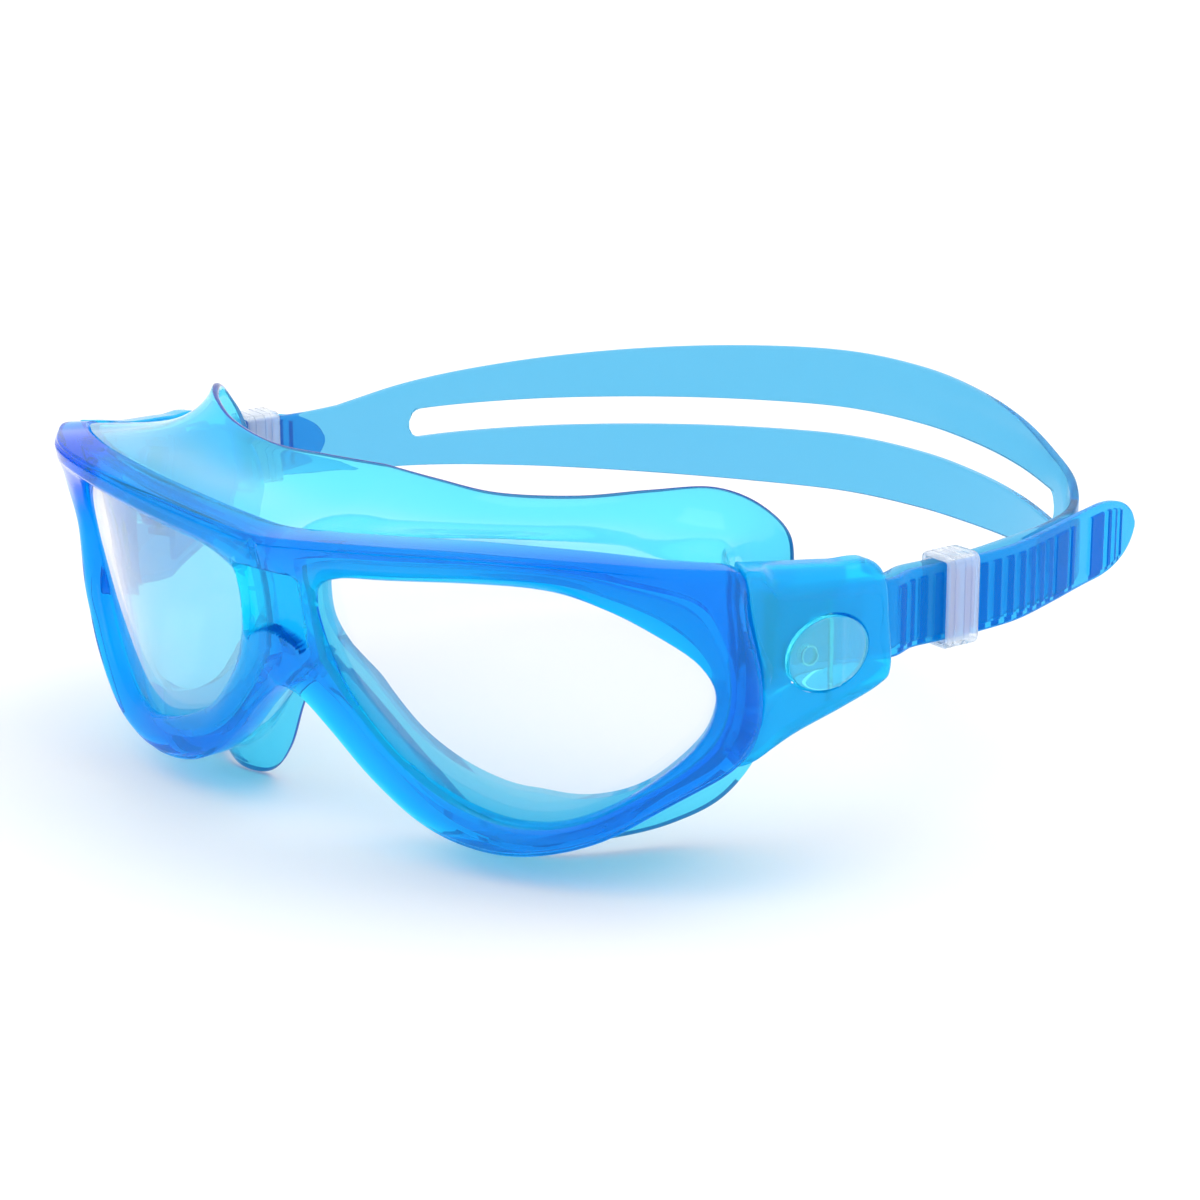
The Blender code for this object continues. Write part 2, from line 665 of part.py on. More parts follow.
def strap_path():
    """Plan curve of the whole strap, from the tip of the left tail to the tip of the right one."""
    other = [(-x, y) for x, y in reversed(side_run(RIGHT_RUN, RIGHT_TAIL))]
    return spline(side_run(LEFT_RUN, LEFT_TAIL) + list(BACK) + other, STRAP_STEPS)


def strap_sections(path):
    """Height of the strap at each point: narrow at the sides, wide round the back, round at its tips."""
    travelled = np.concatenate([[0], np.cumsum(np.linalg.norm(np.diff(path, axis=0), axis=1))])
    nearest = [np.argmin(np.linalg.norm(path - np.array(point), axis=1)) for point in SLOT_ENDS]
    start, end = travelled[nearest]
    share = np.clip((travelled - start + BAND_TAPER) / (end - start + 2 * BAND_TAPER), 0, 1)
    wide = np.sin(math.pi * share**BAND_SKEW)
    height = STRAP_HEIGHT + (BAND_HEIGHT - STRAP_HEIGHT) * wide
    return travelled, start, end, height


def swept(name, path, heights, inner, outer, finish):
    """A flat band along a plan path, between two offsets from it, with straight ends."""
    tangent = np.gradient(path, axis=0)
    tangent /= np.linalg.norm(tangent, axis=1)[:, None]
    side = np.stack([tangent[:, 1], -tangent[:, 0]], axis=1)
    points = []
    for point, normal, height in zip(path, side, heights):
        for offset, z in ((inner, -0.5), (outer, -0.5), (outer, 0.5), (inner, 0.5)):
            points.append((*(point + normal * offset), STRAP_Z + z * height))
    faces = grid_faces(len(path), 4, around=False)
    last = 4 * (len(path) - 1)
    faces += [(0, 1, 2, 3), (last + 3, last + 2, last + 1, last)]
    return mesh_object(name, points, faces, finish)


def head_strap(finish):
    """One band with two round-ended tails, and a long slot that splits it at the back."""
    path = strap_path()
    travelled, start, end, height = strap_sections(path)
    reach = np.minimum(travelled, travelled[-1] - travelled)
    tip = np.sqrt(np.clip(1 - (1 - np.clip(reach / TIP_LENGTH, 0, 1)) ** 2.2, 0.06, 1))
    strap = swept("head_strap", path, height * tip, -STRAP_THICKNESS / 2, STRAP_THICKNESS / 2, finish)
    inside = (travelled >= start) & (travelled <= end)
    slot = path[inside]
    reach = np.minimum(travelled[inside] - start, end - travelled[inside])
    round_end = np.sqrt(np.clip(1 - (1 - np.clip(reach / SLOT_ROUND, 0, 1)) ** 2, 0.1, 1))
    combine(strap, swept("tool", slot, SLOT_HEIGHT * round_end, -3, 3, None), "DIFFERENCE")
    return strap


def strap_keeper(name, side, finish):
    """A rectangular loop round both layers of the strap."""
    run, share = (LEFT_RUN, LEFT_KEEPER) if side > 0 else (RIGHT_RUN, RIGHT_KEEPER)
    near, length, along, out = run_frame(run)
    clear_of = STRAP_THICKNESS / 2 + KEEPER_GAP
    stack = (-clear_of, LAYER_OFFSET + RIB_HEIGHT + clear_of)
    half_height = STRAP_HEIGHT / 2 + KEEPER_GAP
    centre = near + along * length * share
    points = []
    for grow in (KEEPER_WALL, 0):
        for reach in (-KEEPER_LENGTH / 2, KEEPER_LENGTH / 2):
            for offset, z in (
                (stack[0] - grow, -half_height - grow),
                (stack[1] + grow, -half_height - grow),
                (stack[1] + grow, half_height + grow),
                (stack[0] - grow, half_height + grow),
            ):
                plan = centre + along * reach + out * offset
                points.append((side * plan[0], plan[1], STRAP_Z + z))
    order = np.array(points).reshape(2, 2, 4, 3)
    loops = np.vstack([order[0, 0], order[0, 1], order[1, 1], order[1, 0]])
    middle = centre + out * (stack[0] + stack[1]) / 2
    origin = (side * middle[0], middle[1], STRAP_Z)
    return mesh_object(name, loops, grid_faces(4, 4), finish, origin)


def build():
    clear_scene()
    frame_blue = material("frame_blue", (0.0, 0.22, 0.75), 0.08, 0.8)
    housing_blue = material("housing_blue", (0.02, 0.35, 0.82), 0.35, 0.85)
    seal_cyan = material("seal_cyan", (0.15, 0.72, 0.95), 0.12, 0.5)
    lens_clear = material("lens_clear", (0.92, 0.93, 0.95), 0.02, 0.15)
    strap_blue = material("strap_blue", (0.18, 0.5, 0.85), 0.4, 0.9)
    clear_plastic = material("clear_plastic", (0.8, 0.87, 0.95), 0.15, 0.5)
    keeper_frost = material("keeper_frost", (0.75, 0.83, 0.93), 0.4, 0.7)
    steel = material("stainless_steel", (0.6, 0.6, 0.62), 0.25)
    front_frame(frame_blue)
    face_seal(seal_cyan)
    head_strap(strap_blue)
    for word, side in (("left", 1), ("right", -1)):
        lens(word + "_lens", side, lens_clear)
        buckle_housing(word + "_buckle_housing", side, housing_blue)
        buckle_cover(word + "_buckle_cover", side, housing_blue)
        release_button(word + "_release_button", side, clear_plastic)
        rod(PIVOT, PIN_RADIUS, PIN_Z, side, word + "_button_pin", steel)
        button_spring(word + "_button_spring", side, steel)
        rod(ROLLER, ROLLER_RADIUS, ROLLER_Z, side, word + "_strap_roller", clear_plastic, bore=ROLLER_BORE)
        rod(ROLLER, ROLLER_PIN_RADIUS, ROLLER_PIN_Z, side, word + "_roller_pin", steel)
        strap_keeper(word + "_strap_keeper", side, keeper_frost)


build()
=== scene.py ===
"""Swim goggles, junior mask type: fine meshes, materials and the set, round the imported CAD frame.

Lengths are in millimetres until mesh_object(). The front is drawn as a flat pattern (s, z): s is the
distance round the front from the middle, and z is the height. surface() bends the pattern round the
face and pushes it out along its normal by d.
"""

import math

import bmesh
import bpy
import numpy as np
from mathutils import Matrix, Vector


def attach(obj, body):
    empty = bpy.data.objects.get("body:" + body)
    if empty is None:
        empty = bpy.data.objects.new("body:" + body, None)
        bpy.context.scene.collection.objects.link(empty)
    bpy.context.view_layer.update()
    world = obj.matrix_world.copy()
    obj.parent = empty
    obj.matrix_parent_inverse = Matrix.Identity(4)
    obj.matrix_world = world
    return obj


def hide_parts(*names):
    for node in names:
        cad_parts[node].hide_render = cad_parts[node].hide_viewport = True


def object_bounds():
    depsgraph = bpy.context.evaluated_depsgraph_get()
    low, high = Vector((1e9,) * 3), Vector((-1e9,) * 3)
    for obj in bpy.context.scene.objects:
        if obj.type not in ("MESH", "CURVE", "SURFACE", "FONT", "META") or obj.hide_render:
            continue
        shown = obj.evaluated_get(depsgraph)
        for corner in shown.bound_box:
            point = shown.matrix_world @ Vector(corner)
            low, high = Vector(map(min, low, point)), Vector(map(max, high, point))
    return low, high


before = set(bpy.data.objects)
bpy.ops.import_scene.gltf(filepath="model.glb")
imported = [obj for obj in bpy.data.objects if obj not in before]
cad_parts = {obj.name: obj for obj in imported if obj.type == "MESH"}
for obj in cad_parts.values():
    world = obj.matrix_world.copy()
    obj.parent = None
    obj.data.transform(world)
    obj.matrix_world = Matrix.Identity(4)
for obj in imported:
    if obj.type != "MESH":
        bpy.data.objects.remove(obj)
cad_box = [list(corner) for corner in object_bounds()]

MM = 0.001

# Plan of the front: its heading in degrees at distances s from the middle, and its forward lean.
FRONT_Y = -30.6
HEADINGS = ((0, 0), (10, 3), (25, 6), (35, 12), (42, 19), (52, 29), (64, 36), (74, 44), (82, 76), (110, 76))
PLAN_STEP = 0.5
LEAN = 0.17
LEAN_FADE = (70, 84)

# Flat pattern: pairs of a window point and the frame's outer point, from the top of the nose bridge
# round the temple to the bottom of the bridge. The pairs after that close the ring on the middle line.
RIM_PAIRS = (
    ((8.8, 13.6), (0, 21.3)),
    ((14, 16.0), (10, 22.1)),
    ((23, 17.3), (22, 23.4)),
    ((38, 19.2), (38, 24.9)),
    ((49, 19.3), (52, 24.9)),
    ((57.2, 16.7), (64, 23.9)),
    ((64.5, 12.7), (76.0, 22.1)),
    ((70.6, 8.0), (77.7, 14.6)),
    ((73.2, 2.5), (79.9, 5.4)),
    ((71.5, -4), (79.7, -2.8)),
    ((66, -9.8), (76, -8.9)),
    ((58, -15.4), (66, -15.4)),
    ((50, -18.8), (55, -21.9)),
    ((42, -19.6), (43, -25.2)),
    ((34, -18.3), (32.5, -25.1)),
    ((26, -15.5), (23.7, -22.5)),
    ((19.5, -11.8), (15.4, -16.9)),
    ((14, -6.3), (8.6, -10.5)),
    ((10.8, -1.6), (4.1, -6.6)),
    ((8.9, 3.2), (0, -4.2)),
    ((7.9, 7.5), (0, 4)),
    ((7.7, 10.8), (0, 13)),
)
LAST_PAIR = 19
RISE_GAP = 1.3
STEPS = 10

# Front of the frame: depth at shares of the way from the window to the outer edge, for the lower rim,
# for the brow bar and for the middle line. Fades and ranges called pairs count along RIM_PAIRS.
ACROSS = (0, 0.08, 0.24, 0.42, 0.52, 0.68, 0.86, 0.895, 0.93, 1)
RIM_FRONT = (0.3, 1.0, 1.8, 2.3, 2.45, 2.45, 2.05, 1.95, 1.75, 1.2)
BROW_FRONT = (0.3, 1.1, 2.1, 2.95, 3.2, 3.35, 3.5, 3.2, 3.4, 3.1)
MIDDLE_FRONT = (0.3, 1.1, 1.95, 2.35, 2.5, 2.65, 2.85, 2.88, 2.9, 2.9)
BROW_FADE = (3.8, 6.6)
BEVEL = (0.6, 0.45)
TEMPLE_PAIR = 6
TEMPLE_SPREAD = 1.8
TEMPLE_DROP = 1.5

# The sunk nose panel: its depth, where its sides and its top fade out, and the arch that is its foot.
PANEL_DEPTH = 0.3
PANEL_HALF = (6.0, 6.6)
PANEL_TOP = (14.6, 15.8)
ARCH = (5.1, 0.072, 0.7)
# Share of the panel's rise whose faces take the darker step finish: painted shade on the panel's step
# walls.
PANEL_STEP = (0.06, 0.94)

# Back of the frame: the lip round the lens, the rear face, and the rear face of the bridge.
FRAME_LIP = -1.4
FRAME_REAR = -4.2
BRIDGE_REAR = -1.9
BRIDGE_SPLITS = 4
REBATE = 0.5
REAR_EASE = 0.3

LENS_EDGE = 0.39
LENS_FACES = (-1.7, -3.5)
LENS_EASE = 0.2
LENS_SHARES = (1, 0.99, 0.95, 0.88, 0.8, 0.7, 0.58, 0.45, 0.3, 0.15)

# Face seal: points of its free rim in (x, y, z), from the middle of the brow round the temple to the nose.
SEAL_RIM = (
    (0, -8, 26.3),
    (12, -9, 26.2),
    (24, -8.5, 25.9),
    (37, -5, 26.9),
    (47, 0.5, 28.4),
    (54, 7.2, 28.6),
    (58.4, 13.5, 25.2),
    (60.2, 18.6, 19.2),
    (58.6, 20.6, 9),
    (57.4, 18.6, -3),
    (55.8, 18, -14),
    (52.8, 12.2, -22),
    (47.2, 5.4, -26.2),
    (41.5, -3.5, -27.6),
    (36, -9.2, -28.3),
    (30, -11.6, -29.6),
    (24, -11.3, -28.9),
    (17.5, -13.2, -22.8),
    (9.5, -17.3, -11.5),
    (0, -20.5, -1),
)
SEAL_INSET = 0.35
SEAL_WALL = 1.2
SEAL_LIP = 0.12
CHEEK_PAIRS = (10.3, 13, 17.4, 20.3)
CHEEK_REACH = 4.8
# Pairs along the rim where the bead keeps the seal's own finish, without the painted shade.
PALE_PAIRS = (7.4, 10.7)
SEAL_STEP = (0.34, 0.4)
SEAL_DEPTHS = (-3.8, -4.5, -5.9)
SEAL_ROWS = 18
SEAL_STRAIGHT = 0.38
SEAL_FLARE = 0.34
FLARE_BACK = 0.7
BEAD_BACK = 0.15
BEAD_SWELL = 1.12

# Buckle housing: its outline in (s, z) from the foot of the seam, and the depths of its shell.
HOUSING_OUTLINE = (
    (76.6, -8.7),
    (80.2, -2.8),
    (80.4, 5.4),
    (78.2, 14.4),
    (77.3, 19.6),
    (76.9, 22.1),
    (79.4, 21.8),
    (87, 20.7),
    (96, 19.5),
    (104.2, 17.9),
    (105.5, 8),
    (105.6, 1.6),
    (103.5, -0.6),
    (96, -2.9),
    (87, -5.2),
)
HOUSING_SPINE = (84, 101, 6.5)
HOUSING_WALL = 1.4
HOUSING_DEPTHS = (6.2, 11.7)
HOUSING_DEEPEN = (80.8, 84.8)
SHOULDER = (1.2, 3.4)
SEAM_SHOULDER = (0.35, 78.5, 83)
TOP_DEPTH = 5.6
# Steps from the housing's shoulder in to its face: distance in, and depth.
FACE_BORDER = ((1.6, -0.22), (1.25, -0.2), (0.9, -0.02), (0, 0))
HOUSING_EASE = (0.25, 0.2)
LINING_GAP = 0.1
SLOT_OPENING = ((103, 108), (-1.5, -7.6), (2.0, 15.8))

# Release button, and the roller that the strap turns round, placed by s, z and depth.
BUTTON_CENTRE = (92.8, 6.6)
BUTTON_RADII = (7.7, 5.7)
BUTTON_CLEARANCE = 0.45
# Button from its skirt to the middle of its face: share of the radii, and depth.
BUTTON_PROFILE = ((1, -1.2), (1, -0.1), (0.995, 0.15), (0.97, 0.38), (0.93, 0.5), (0.88, 0.56))
BUTTON_PROFILE += tuple((share, 0.6) for share in (0.8, 0.7, 0.6, 0.5, 0.4, 0.3, 0.2, 0.1))
BUTTON_BACK = -1.3
BUTTON_TOP = 0.6
# On the button's face, from its centre: the ridge's place, half width and height, and the fall past it.
RIDGE = (2.0, 0.35, 0.22, 0.07)
# The pressed ring's centre from the button's centre, its radius, half width and depth.
RING_CENTRE = (-1.3, -0.2)
RING = (1.9, 0.25, 0.12)
ROLLER = (87.4, -7.15)

# Head strap: its section, the slot that splits it, and the ribs on its tails.
STRAP_Z = 8.9
STRAP_HEIGHT = 12.4
STRAP_THICKNESS = 1.5
BAND_HEIGHT = 26.8
BAND_TAPER = 16
BAND_SKEW = 0.88
STRAP_EASE = 0.42
TIP_LENGTH = 14
SLOT_HEIGHT = 5.4
SLOT_ROUND = 2.7
SLOT_EASE = 0.3
LEFT_FINE = 78
RIGHT_FINE = 60
# Ribs on the tails: distance from the tip to the rib's middle, and its width.
TIP_RIBS = ((6.2, 0.8), (8.2, 1.0), (10.4, 1.2), (14.7, 4.4), (23.7, 1.3), (27.8, 4.2))
RIBS = TIP_RIBS + tuple((31.95 + 3.08 * count, 1.9) for count in range(13))
RIB_HEIGHT = 0.45
RIB_HALF = 4.75
RIB_SLOPE = 0.22
RIB_MARGIN = 1.4
TAIL_LENGTH = 80

# Plan points of the strap in (x, y): on the +X side, round the back, and on the -X side.
TAIL_IN_BUCKLE = ((107, -2.7), (100.5, -4.9), (94.5, -4.9))
INNER_IN_BUCKLE = ((93, -9.1), (100, -7.2), (107, -5.3))
WRAP_RADIUS = 2.25
LAYER_OFFSET = 2.45
LEFT_RUN = ((72.95, 29.5), (76.3, 44.0))
RIGHT_RUN = ((70.9, 28.6), (67.3, 44.0))
RUN_SHARES = (0, 0.33, 0.67, 1)
LEFT_TAIL = ((79.6, 52), (78.6, 63), (77.2, 74), (76.2, 84), (75.2, 93))
RIGHT_TAIL = ((69.4, 45.5), (68.9, 48))
BACK = (
    (76.7, 54),
    (76.6, 65),
    (74.2, 76),
    (67.5, 86.5),
    (57.5, 95.5),
    (45, 105),
    (31, 113),
    (15, 119),
    (-3, 120.5),
    (-20, 114.5),
    (-36, 104.5),
    (-50, 91.5),
    (-59.5, 78),
    (-64.5, 66),
    (-66.3, 54),
)
SLOT_ENDS = ((61, 92.5), (-64.5, 66))

# Strap keepers: each one's share of the way along its straight run, and its loop.
LEFT_KEEPER = 0.62
RIGHT_KEEPER = 0.3
KEEPER_LENGTH = 6.4
KEEPER_WALL = 0.9
KEEPER_GAP = 0.3
KEEPER_CORNER = 0.5
# The keeper's rounded ends, as distances in from its end and under its face.
KEEPER_EASE = ((0.3, 0), (0.12, 0.1), (0, 0.3), (0, KEEPER_WALL - 0.15))
INNER_EASE = 0.15
# Grooves between the keeper's raised bands: where each starts, and its profile.
GROOVES = (-2.35, -0.35, 1.0)
GROOVE = ((0, 0), (0.12, 0.18), (0.38, 0.18), (0.5, 0))


def smooth_step(low, high, value):
    ratio = np.clip((np.asarray(value, float) - low) / (high - low), 0, 1)
    return ratio * ratio * (3 - 2 * ratio)


def spline(points, steps, closed=False, mirrored=False):
    """Catmull-Rom curve through the points, with the same number of steps between each two."""
    knots = np.array(points, float)
    if closed:
        padded = np.vstack([knots[-1:], knots, knots[:2]])
    elif mirrored:
        padded = np.vstack([knots[1] * (-1, 1), knots, knots[-2] * (-1, 1)])
    else:
        padded = np.vstack([2 * knots[0] - knots[1], knots, 2 * knots[-1] - knots[-2]])
    curve = []
    for a, b, c, d in zip(padded, padded[1:], padded[2:], padded[3:]):
        for t in np.arange(steps) / steps:
            bend = (2 * a - 5 * b + 4 * c - d) * t * t + (3 * b - a - 3 * c + d) * t**3
            curve.append(b + 0.5 * ((c - a) * t + bend))
    if not closed:
        curve.append(knots[-1])
    return np.array(curve)


def plan_table():
    """Columns of distance, x, y and heading at small steps round the front."""
    s = np.arange(0, 112, PLAN_STEP)
    stations, degrees = zip(*HEADINGS)
    heading = np.radians(np.interp(s, stations, degrees))
    heading = np.convolve(np.pad(heading, 4, mode="edge"), np.ones(9) / 9, mode="valid")
    heading[0] = 0
    middle = (heading[1:] + heading[:-1]) / 2
    x = np.concatenate([[0], np.cumsum(np.cos(middle) * PLAN_STEP)])
    y = FRONT_Y + np.concatenate([[0], np.cumsum(np.sin(middle) * PLAN_STEP)])
    return s, x, y, heading


PLAN = plan_table()


def surface(s, z, d):
    """Points in millimetres of the pattern points (s, z) pushed out by d, for s >= 0."""
    s, z, d = np.broadcast_arrays(np.asarray(s, float), z, d)
    x, y, heading = (np.interp(s, PLAN[0], column) for column in PLAN[1:])
    out = d + LEAN * (1 - smooth_step(*LEAN_FADE, s)) * z
    return np.stack([x + np.sin(heading) * out, y - np.cos(heading) * out, z], axis=-1)


def inward(s):
    """Unit vector from the front towards the face."""
    heading = np.interp(s, PLAN[0], PLAN[3])
    return np.array([-math.sin(heading), math.cos(heading), 0])


def rim_stations(inset=0.0):
    """Window points and outer points round one eye, with the outer edge moved in by inset."""
    window = spline([pair[0] for pair in RIM_PAIRS], STEPS, closed=True)
    outer = spline([pair[1] for pair in RIM_PAIRS[: LAST_PAIR + 1]], STEPS, mirrored=True)
    slope = np.gradient(outer, axis=0)
    kernel = np.ones(5) / 5
    columns = [np.convolve(np.pad(column, 2, mode="edge"), kernel, mode="valid") for column in slope.T]
    slope = np.stack(columns, axis=1)
    normal = np.stack([-slope[:, 1], slope[:, 0]], axis=1)
    normal /= np.linalg.norm(normal, axis=1)[:, None]
    normal[[0, -1]] = (0, 1), (0, -1)
    outer = outer - normal * inset
    ends = outer[-1] + (0, RISE_GAP), outer[0] - (0, RISE_GAP)
    rise = np.linspace(*ends, (len(RIM_PAIRS) - LAST_PAIR) * STEPS - 1)
    outer = np.vstack([outer, rise])
    outer[:, 0] = np.maximum(outer[:, 0], 0)
    return window, outer, normal


def mesh_object(name, points, faces, materials=(), marks=None, sharp=40):
    """A smooth-shaded mesh object from points in millimetres. marks gives each face's material."""
    mesh = bmesh.new()
    corners = [mesh.verts.new(Vector(point) * MM) for point in points]
    for index, face in enumerate(faces):
        made = mesh.faces.new([corners[corner] for corner in face])
        made.material_index = marks[index] if marks is not None else 0
    loose = [corner for corner in corners if not corner.link_faces]
    bmesh.ops.delete(mesh, geom=loose, context="VERTS")
    bmesh.ops.remove_doubles(mesh, verts=mesh.verts, dist=1e-6)
    bmesh.ops.recalc_face_normals(mesh, faces=mesh.faces)
    data = bpy.data.meshes.new(name)
    mesh.to_mesh(data)
    mesh.free()
    data.shade_smooth()
    data.set_sharp_from_angle(angle=math.radians(sharp))
    for finish in materials:
        data.materials.append(finish)
    obj = bpy.data.objects.new(name, data)
    bpy.context.scene.collection.objects.link(obj)
    return obj


def grid_faces(loops, count, around=True, skip=lambda loop, index: False):
    """Quads between loops of count points each."""
    faces = []
    for loop in range(loops if around else loops - 1):
        here, there = loop * count, (loop + 1) % loops * count
        for index in range(count):
            ahead = (index + 1) % count
            if not skip(loop, index):
                faces.append((here + index, there + index, there + ahead, here + ahead))
    return faces


def both_halves(points, faces):
    """The left half and its mirror image."""
    count = len(points)
    return np.vstack([points, points * (-1, 1, 1)]), faces + [[i + count for i in face] for face in faces]


def near_temple(pair):
    """1 at the temple corner of the frame, falling to 0 along the rim."""
    return math.exp(-(((pair - TEMPLE_PAIR) / TEMPLE_SPREAD) ** 2))


def front_depths(pair, window, outer):
    """Points and depths of the frame's front along one section, with the nose panel sunk into it."""
    last = len(RIM_PAIRS)
    brow = float(1 - smooth_step(*BROW_FADE, pair) + smooth_step(LAST_PAIR + 1.5, last, pair))
    middle = float(smooth_step(LAST_PAIR - 1, LAST_PAIR + 0.5, pair) - smooth_step(last - 0.8, last, pair))
    depths = np.array(BROW_FRONT) * brow + np.array(RIM_FRONT) * (1 - brow)
    depths = depths * (1 - middle) + np.array(MIDDLE_FRONT) * middle
    depths = depths - TEMPLE_DROP * near_temple(pair) * np.array(ACROSS)
    profile = spline(np.stack([np.array(ACROSS), depths], axis=1), 3)
    points = window + (outer - window) * profile[:, :1]
    s, z = points.T
    arch, curve, edge = ARCH
    foot = arch - curve * s * s
    tall = smooth_step(foot, foot + edge, z) * (1 - smooth_step(*PANEL_TOP, z))
    panel = tall * (1 - smooth_step(*PANEL_HALF, s))
    low, high = PANEL_STEP
    on_step = (tall > low) & (tall < high) & (s < PANEL_HALF[0])
    return points, profile[:, 1] * (1 - panel) + PANEL_DEPTH * panel, on_step


def front_frame(finish, step_shade_finish):
    """One ring round each eye, joined along the middle of the nose bridge."""
    window, outer, normal = rim_stations()
    rings = []
    steps = []
    quarter = np.radians(np.linspace(15, 90, 6))
    bridge_start = LAST_PAIR * STEPS
    whole = np.arange(bridge_start)
    fine = np.arange(bridge_start, len(window), 1 / BRIDGE_SPLITS)
    closed = np.arange(len(window) + 1)
    for spot in np.concatenate([whole, fine]):
        inner_edge, outer_edge = (
            np.array([np.interp(spot, closed, np.append(column, column[0])) for column in edge.T])
            for edge in (window, outer)
        )
        pair = spot / STEPS
        bevel = 0.0
        away = np.zeros(2)
        if spot <= bridge_start:
            bevel = BEVEL[0] + (BEVEL[1] - BEVEL[0]) * near_temple(pair)
            away = normal[int(spot)]
        points, depths, on_step = front_depths(pair, inner_edge, outer_edge - away * bevel)
        steps.append(np.concatenate([[False], on_step]))
        ring = [(inner_edge, FRAME_LIP + 0.2), (inner_edge, 0.05)]
        ring += list(zip(points[1:], depths[1:]))
        for turn in quarter:
            edge = outer_edge - away * bevel * (1 - math.sin(turn))
            ring.append((edge, depths[-1] - bevel * (1 - math.cos(turn))))
        rebate = inner_edge + (outer_edge - inner_edge) * REBATE
        rim = REAR_EASE if spot <= bridge_start else 0.0
        bridge = smooth_step(LAST_PAIR, LAST_PAIR + 1, pair)
        bridge = bridge - smooth_step(len(RIM_PAIRS) - 1, len(RIM_PAIRS), pair)
        rear = FRAME_REAR + (BRIDGE_REAR - FRAME_REAR) * float(bridge)
        ring += [(outer_edge, rear + rim), (outer_edge - away * rim, rear), (rebate, rear)]
        ring += [(rebate, FRAME_LIP), (inner_edge + (outer_edge - inner_edge) * 0.03, FRAME_LIP)]
        rings.append([surface(point[0], point[1], depth) for point, depth in ring])
    count = len(rings[0])
    first = len(depths)
    closing = range(first, first + len(quarter) + 2)
    skip = lambda loop, index: loop >= bridge_start and index in closing
    faces = grid_faces(len(rings), count, skip=skip)
    # Faces on the panel's step walls take the second, darker finish: painted shade.
    marks = []
    for face in faces:
        loop, index = divmod(face[0], count)
        marks.append(int(index < len(steps[loop]) and steps[loop][index]))
    points, faces = both_halves(np.array(rings).reshape(-1, 3), faces)
    return mesh_object("frame_shell", points, faces, [finish, step_shade_finish], marks * 2)


def lens(name, side, finish, edge_finish):
    """A thin plate bent like the front, with eased edges."""
    window, outer, _ = rim_stations()
    edge = window + (outer - window) * LENS_EDGE
    middle = edge.mean(axis=0)
    front, back = LENS_FACES
    wall = len(LENS_SHARES) - 1
    rows = [(share, front) for share in LENS_SHARES[:0:-1]]
    rows += [(1, front - LENS_EASE), (1, back + LENS_EASE)]
    rows += [(share, back) for share in LENS_SHARES[1:]]
    loops = []
    for share, depth in rows:
        loop = middle + (edge - middle) * share
        loops.append(surface(loop[:, 0], loop[:, 1], depth))
    count = len(edge)
    points = np.vstack(loops + [surface(*middle, front)[None], surface(*middle, back)[None]])
    faces = grid_faces(len(loops), count, around=False)
    tip, tail = len(loops) * count, (len(loops) - 1) * count
    for index in range(count):
        ahead = (index + 1) % count
        faces.append((tip, index, ahead))
        faces.append((tip + 1, tail + ahead, tail + index))
    marks = [int(face[0] // count == wall) for face in faces]
    return mesh_object(name, points * (side, 1, 1), faces, [finish, edge_finish], marks)


def seal_skin(outer, normal):
    """Rows of points of the skirt's outside, from the frame to the rim, and their inward normals."""
    rim = spline(SEAL_RIM, STEPS)
    skin = []
    for (s, z), (out_s, out_z), end in zip(outer, normal, rim):
        start = surface(s, z, SEAL_DEPTHS[1])
        heading = np.interp(s, PLAN[0], PLAN[3])
        flare = np.array([out_s * math.cos(heading), out_s * math.sin(heading) + FLARE_BACK, out_z])
        flare /= np.linalg.norm(flare)
        length = np.linalg.norm(end - start)
        first = start + inward(s) * length * SEAL_STRAIGHT
        second = end - flare * length * SEAL_FLARE
        row = []
        for t in np.arange(SEAL_ROWS + 1) / SEAL_ROWS:
            near_half = (1 - t) ** 3 * start + 3 * t * (1 - t) ** 2 * first
            row.append(near_half + 3 * t * t * (1 - t) * second + t**3 * end)
        skin.append(row)
    skin = np.array(skin)
    skin[[0, -1], :, 0] = 0
    across = np.cross(np.gradient(skin, axis=0), np.gradient(skin, axis=1))
    across /= np.linalg.norm(across, axis=2)[:, :, None]
    across[[0, -1], :, 0] = 0
    return skin, across


def flange_lip(window, outer):
    """Edge of the flange round each window: just outside it, but reaching past it along the cheek."""
    travel = np.roll(window, -1, axis=0) - np.roll(window, 1, axis=0)
    toward = np.stack([travel[:, 1], -travel[:, 0]], axis=1) / np.linalg.norm(travel, axis=1)[:, None]
    pairs = np.arange(len(window)) / STEPS
    start, full, fade, end = CHEEK_PAIRS
    reach = smooth_step(start, full, pairs) - smooth_step(fade, end, pairs)
    return window + (outer - window) * SEAL_LIP + toward * CHEEK_REACH * reach[:, None]


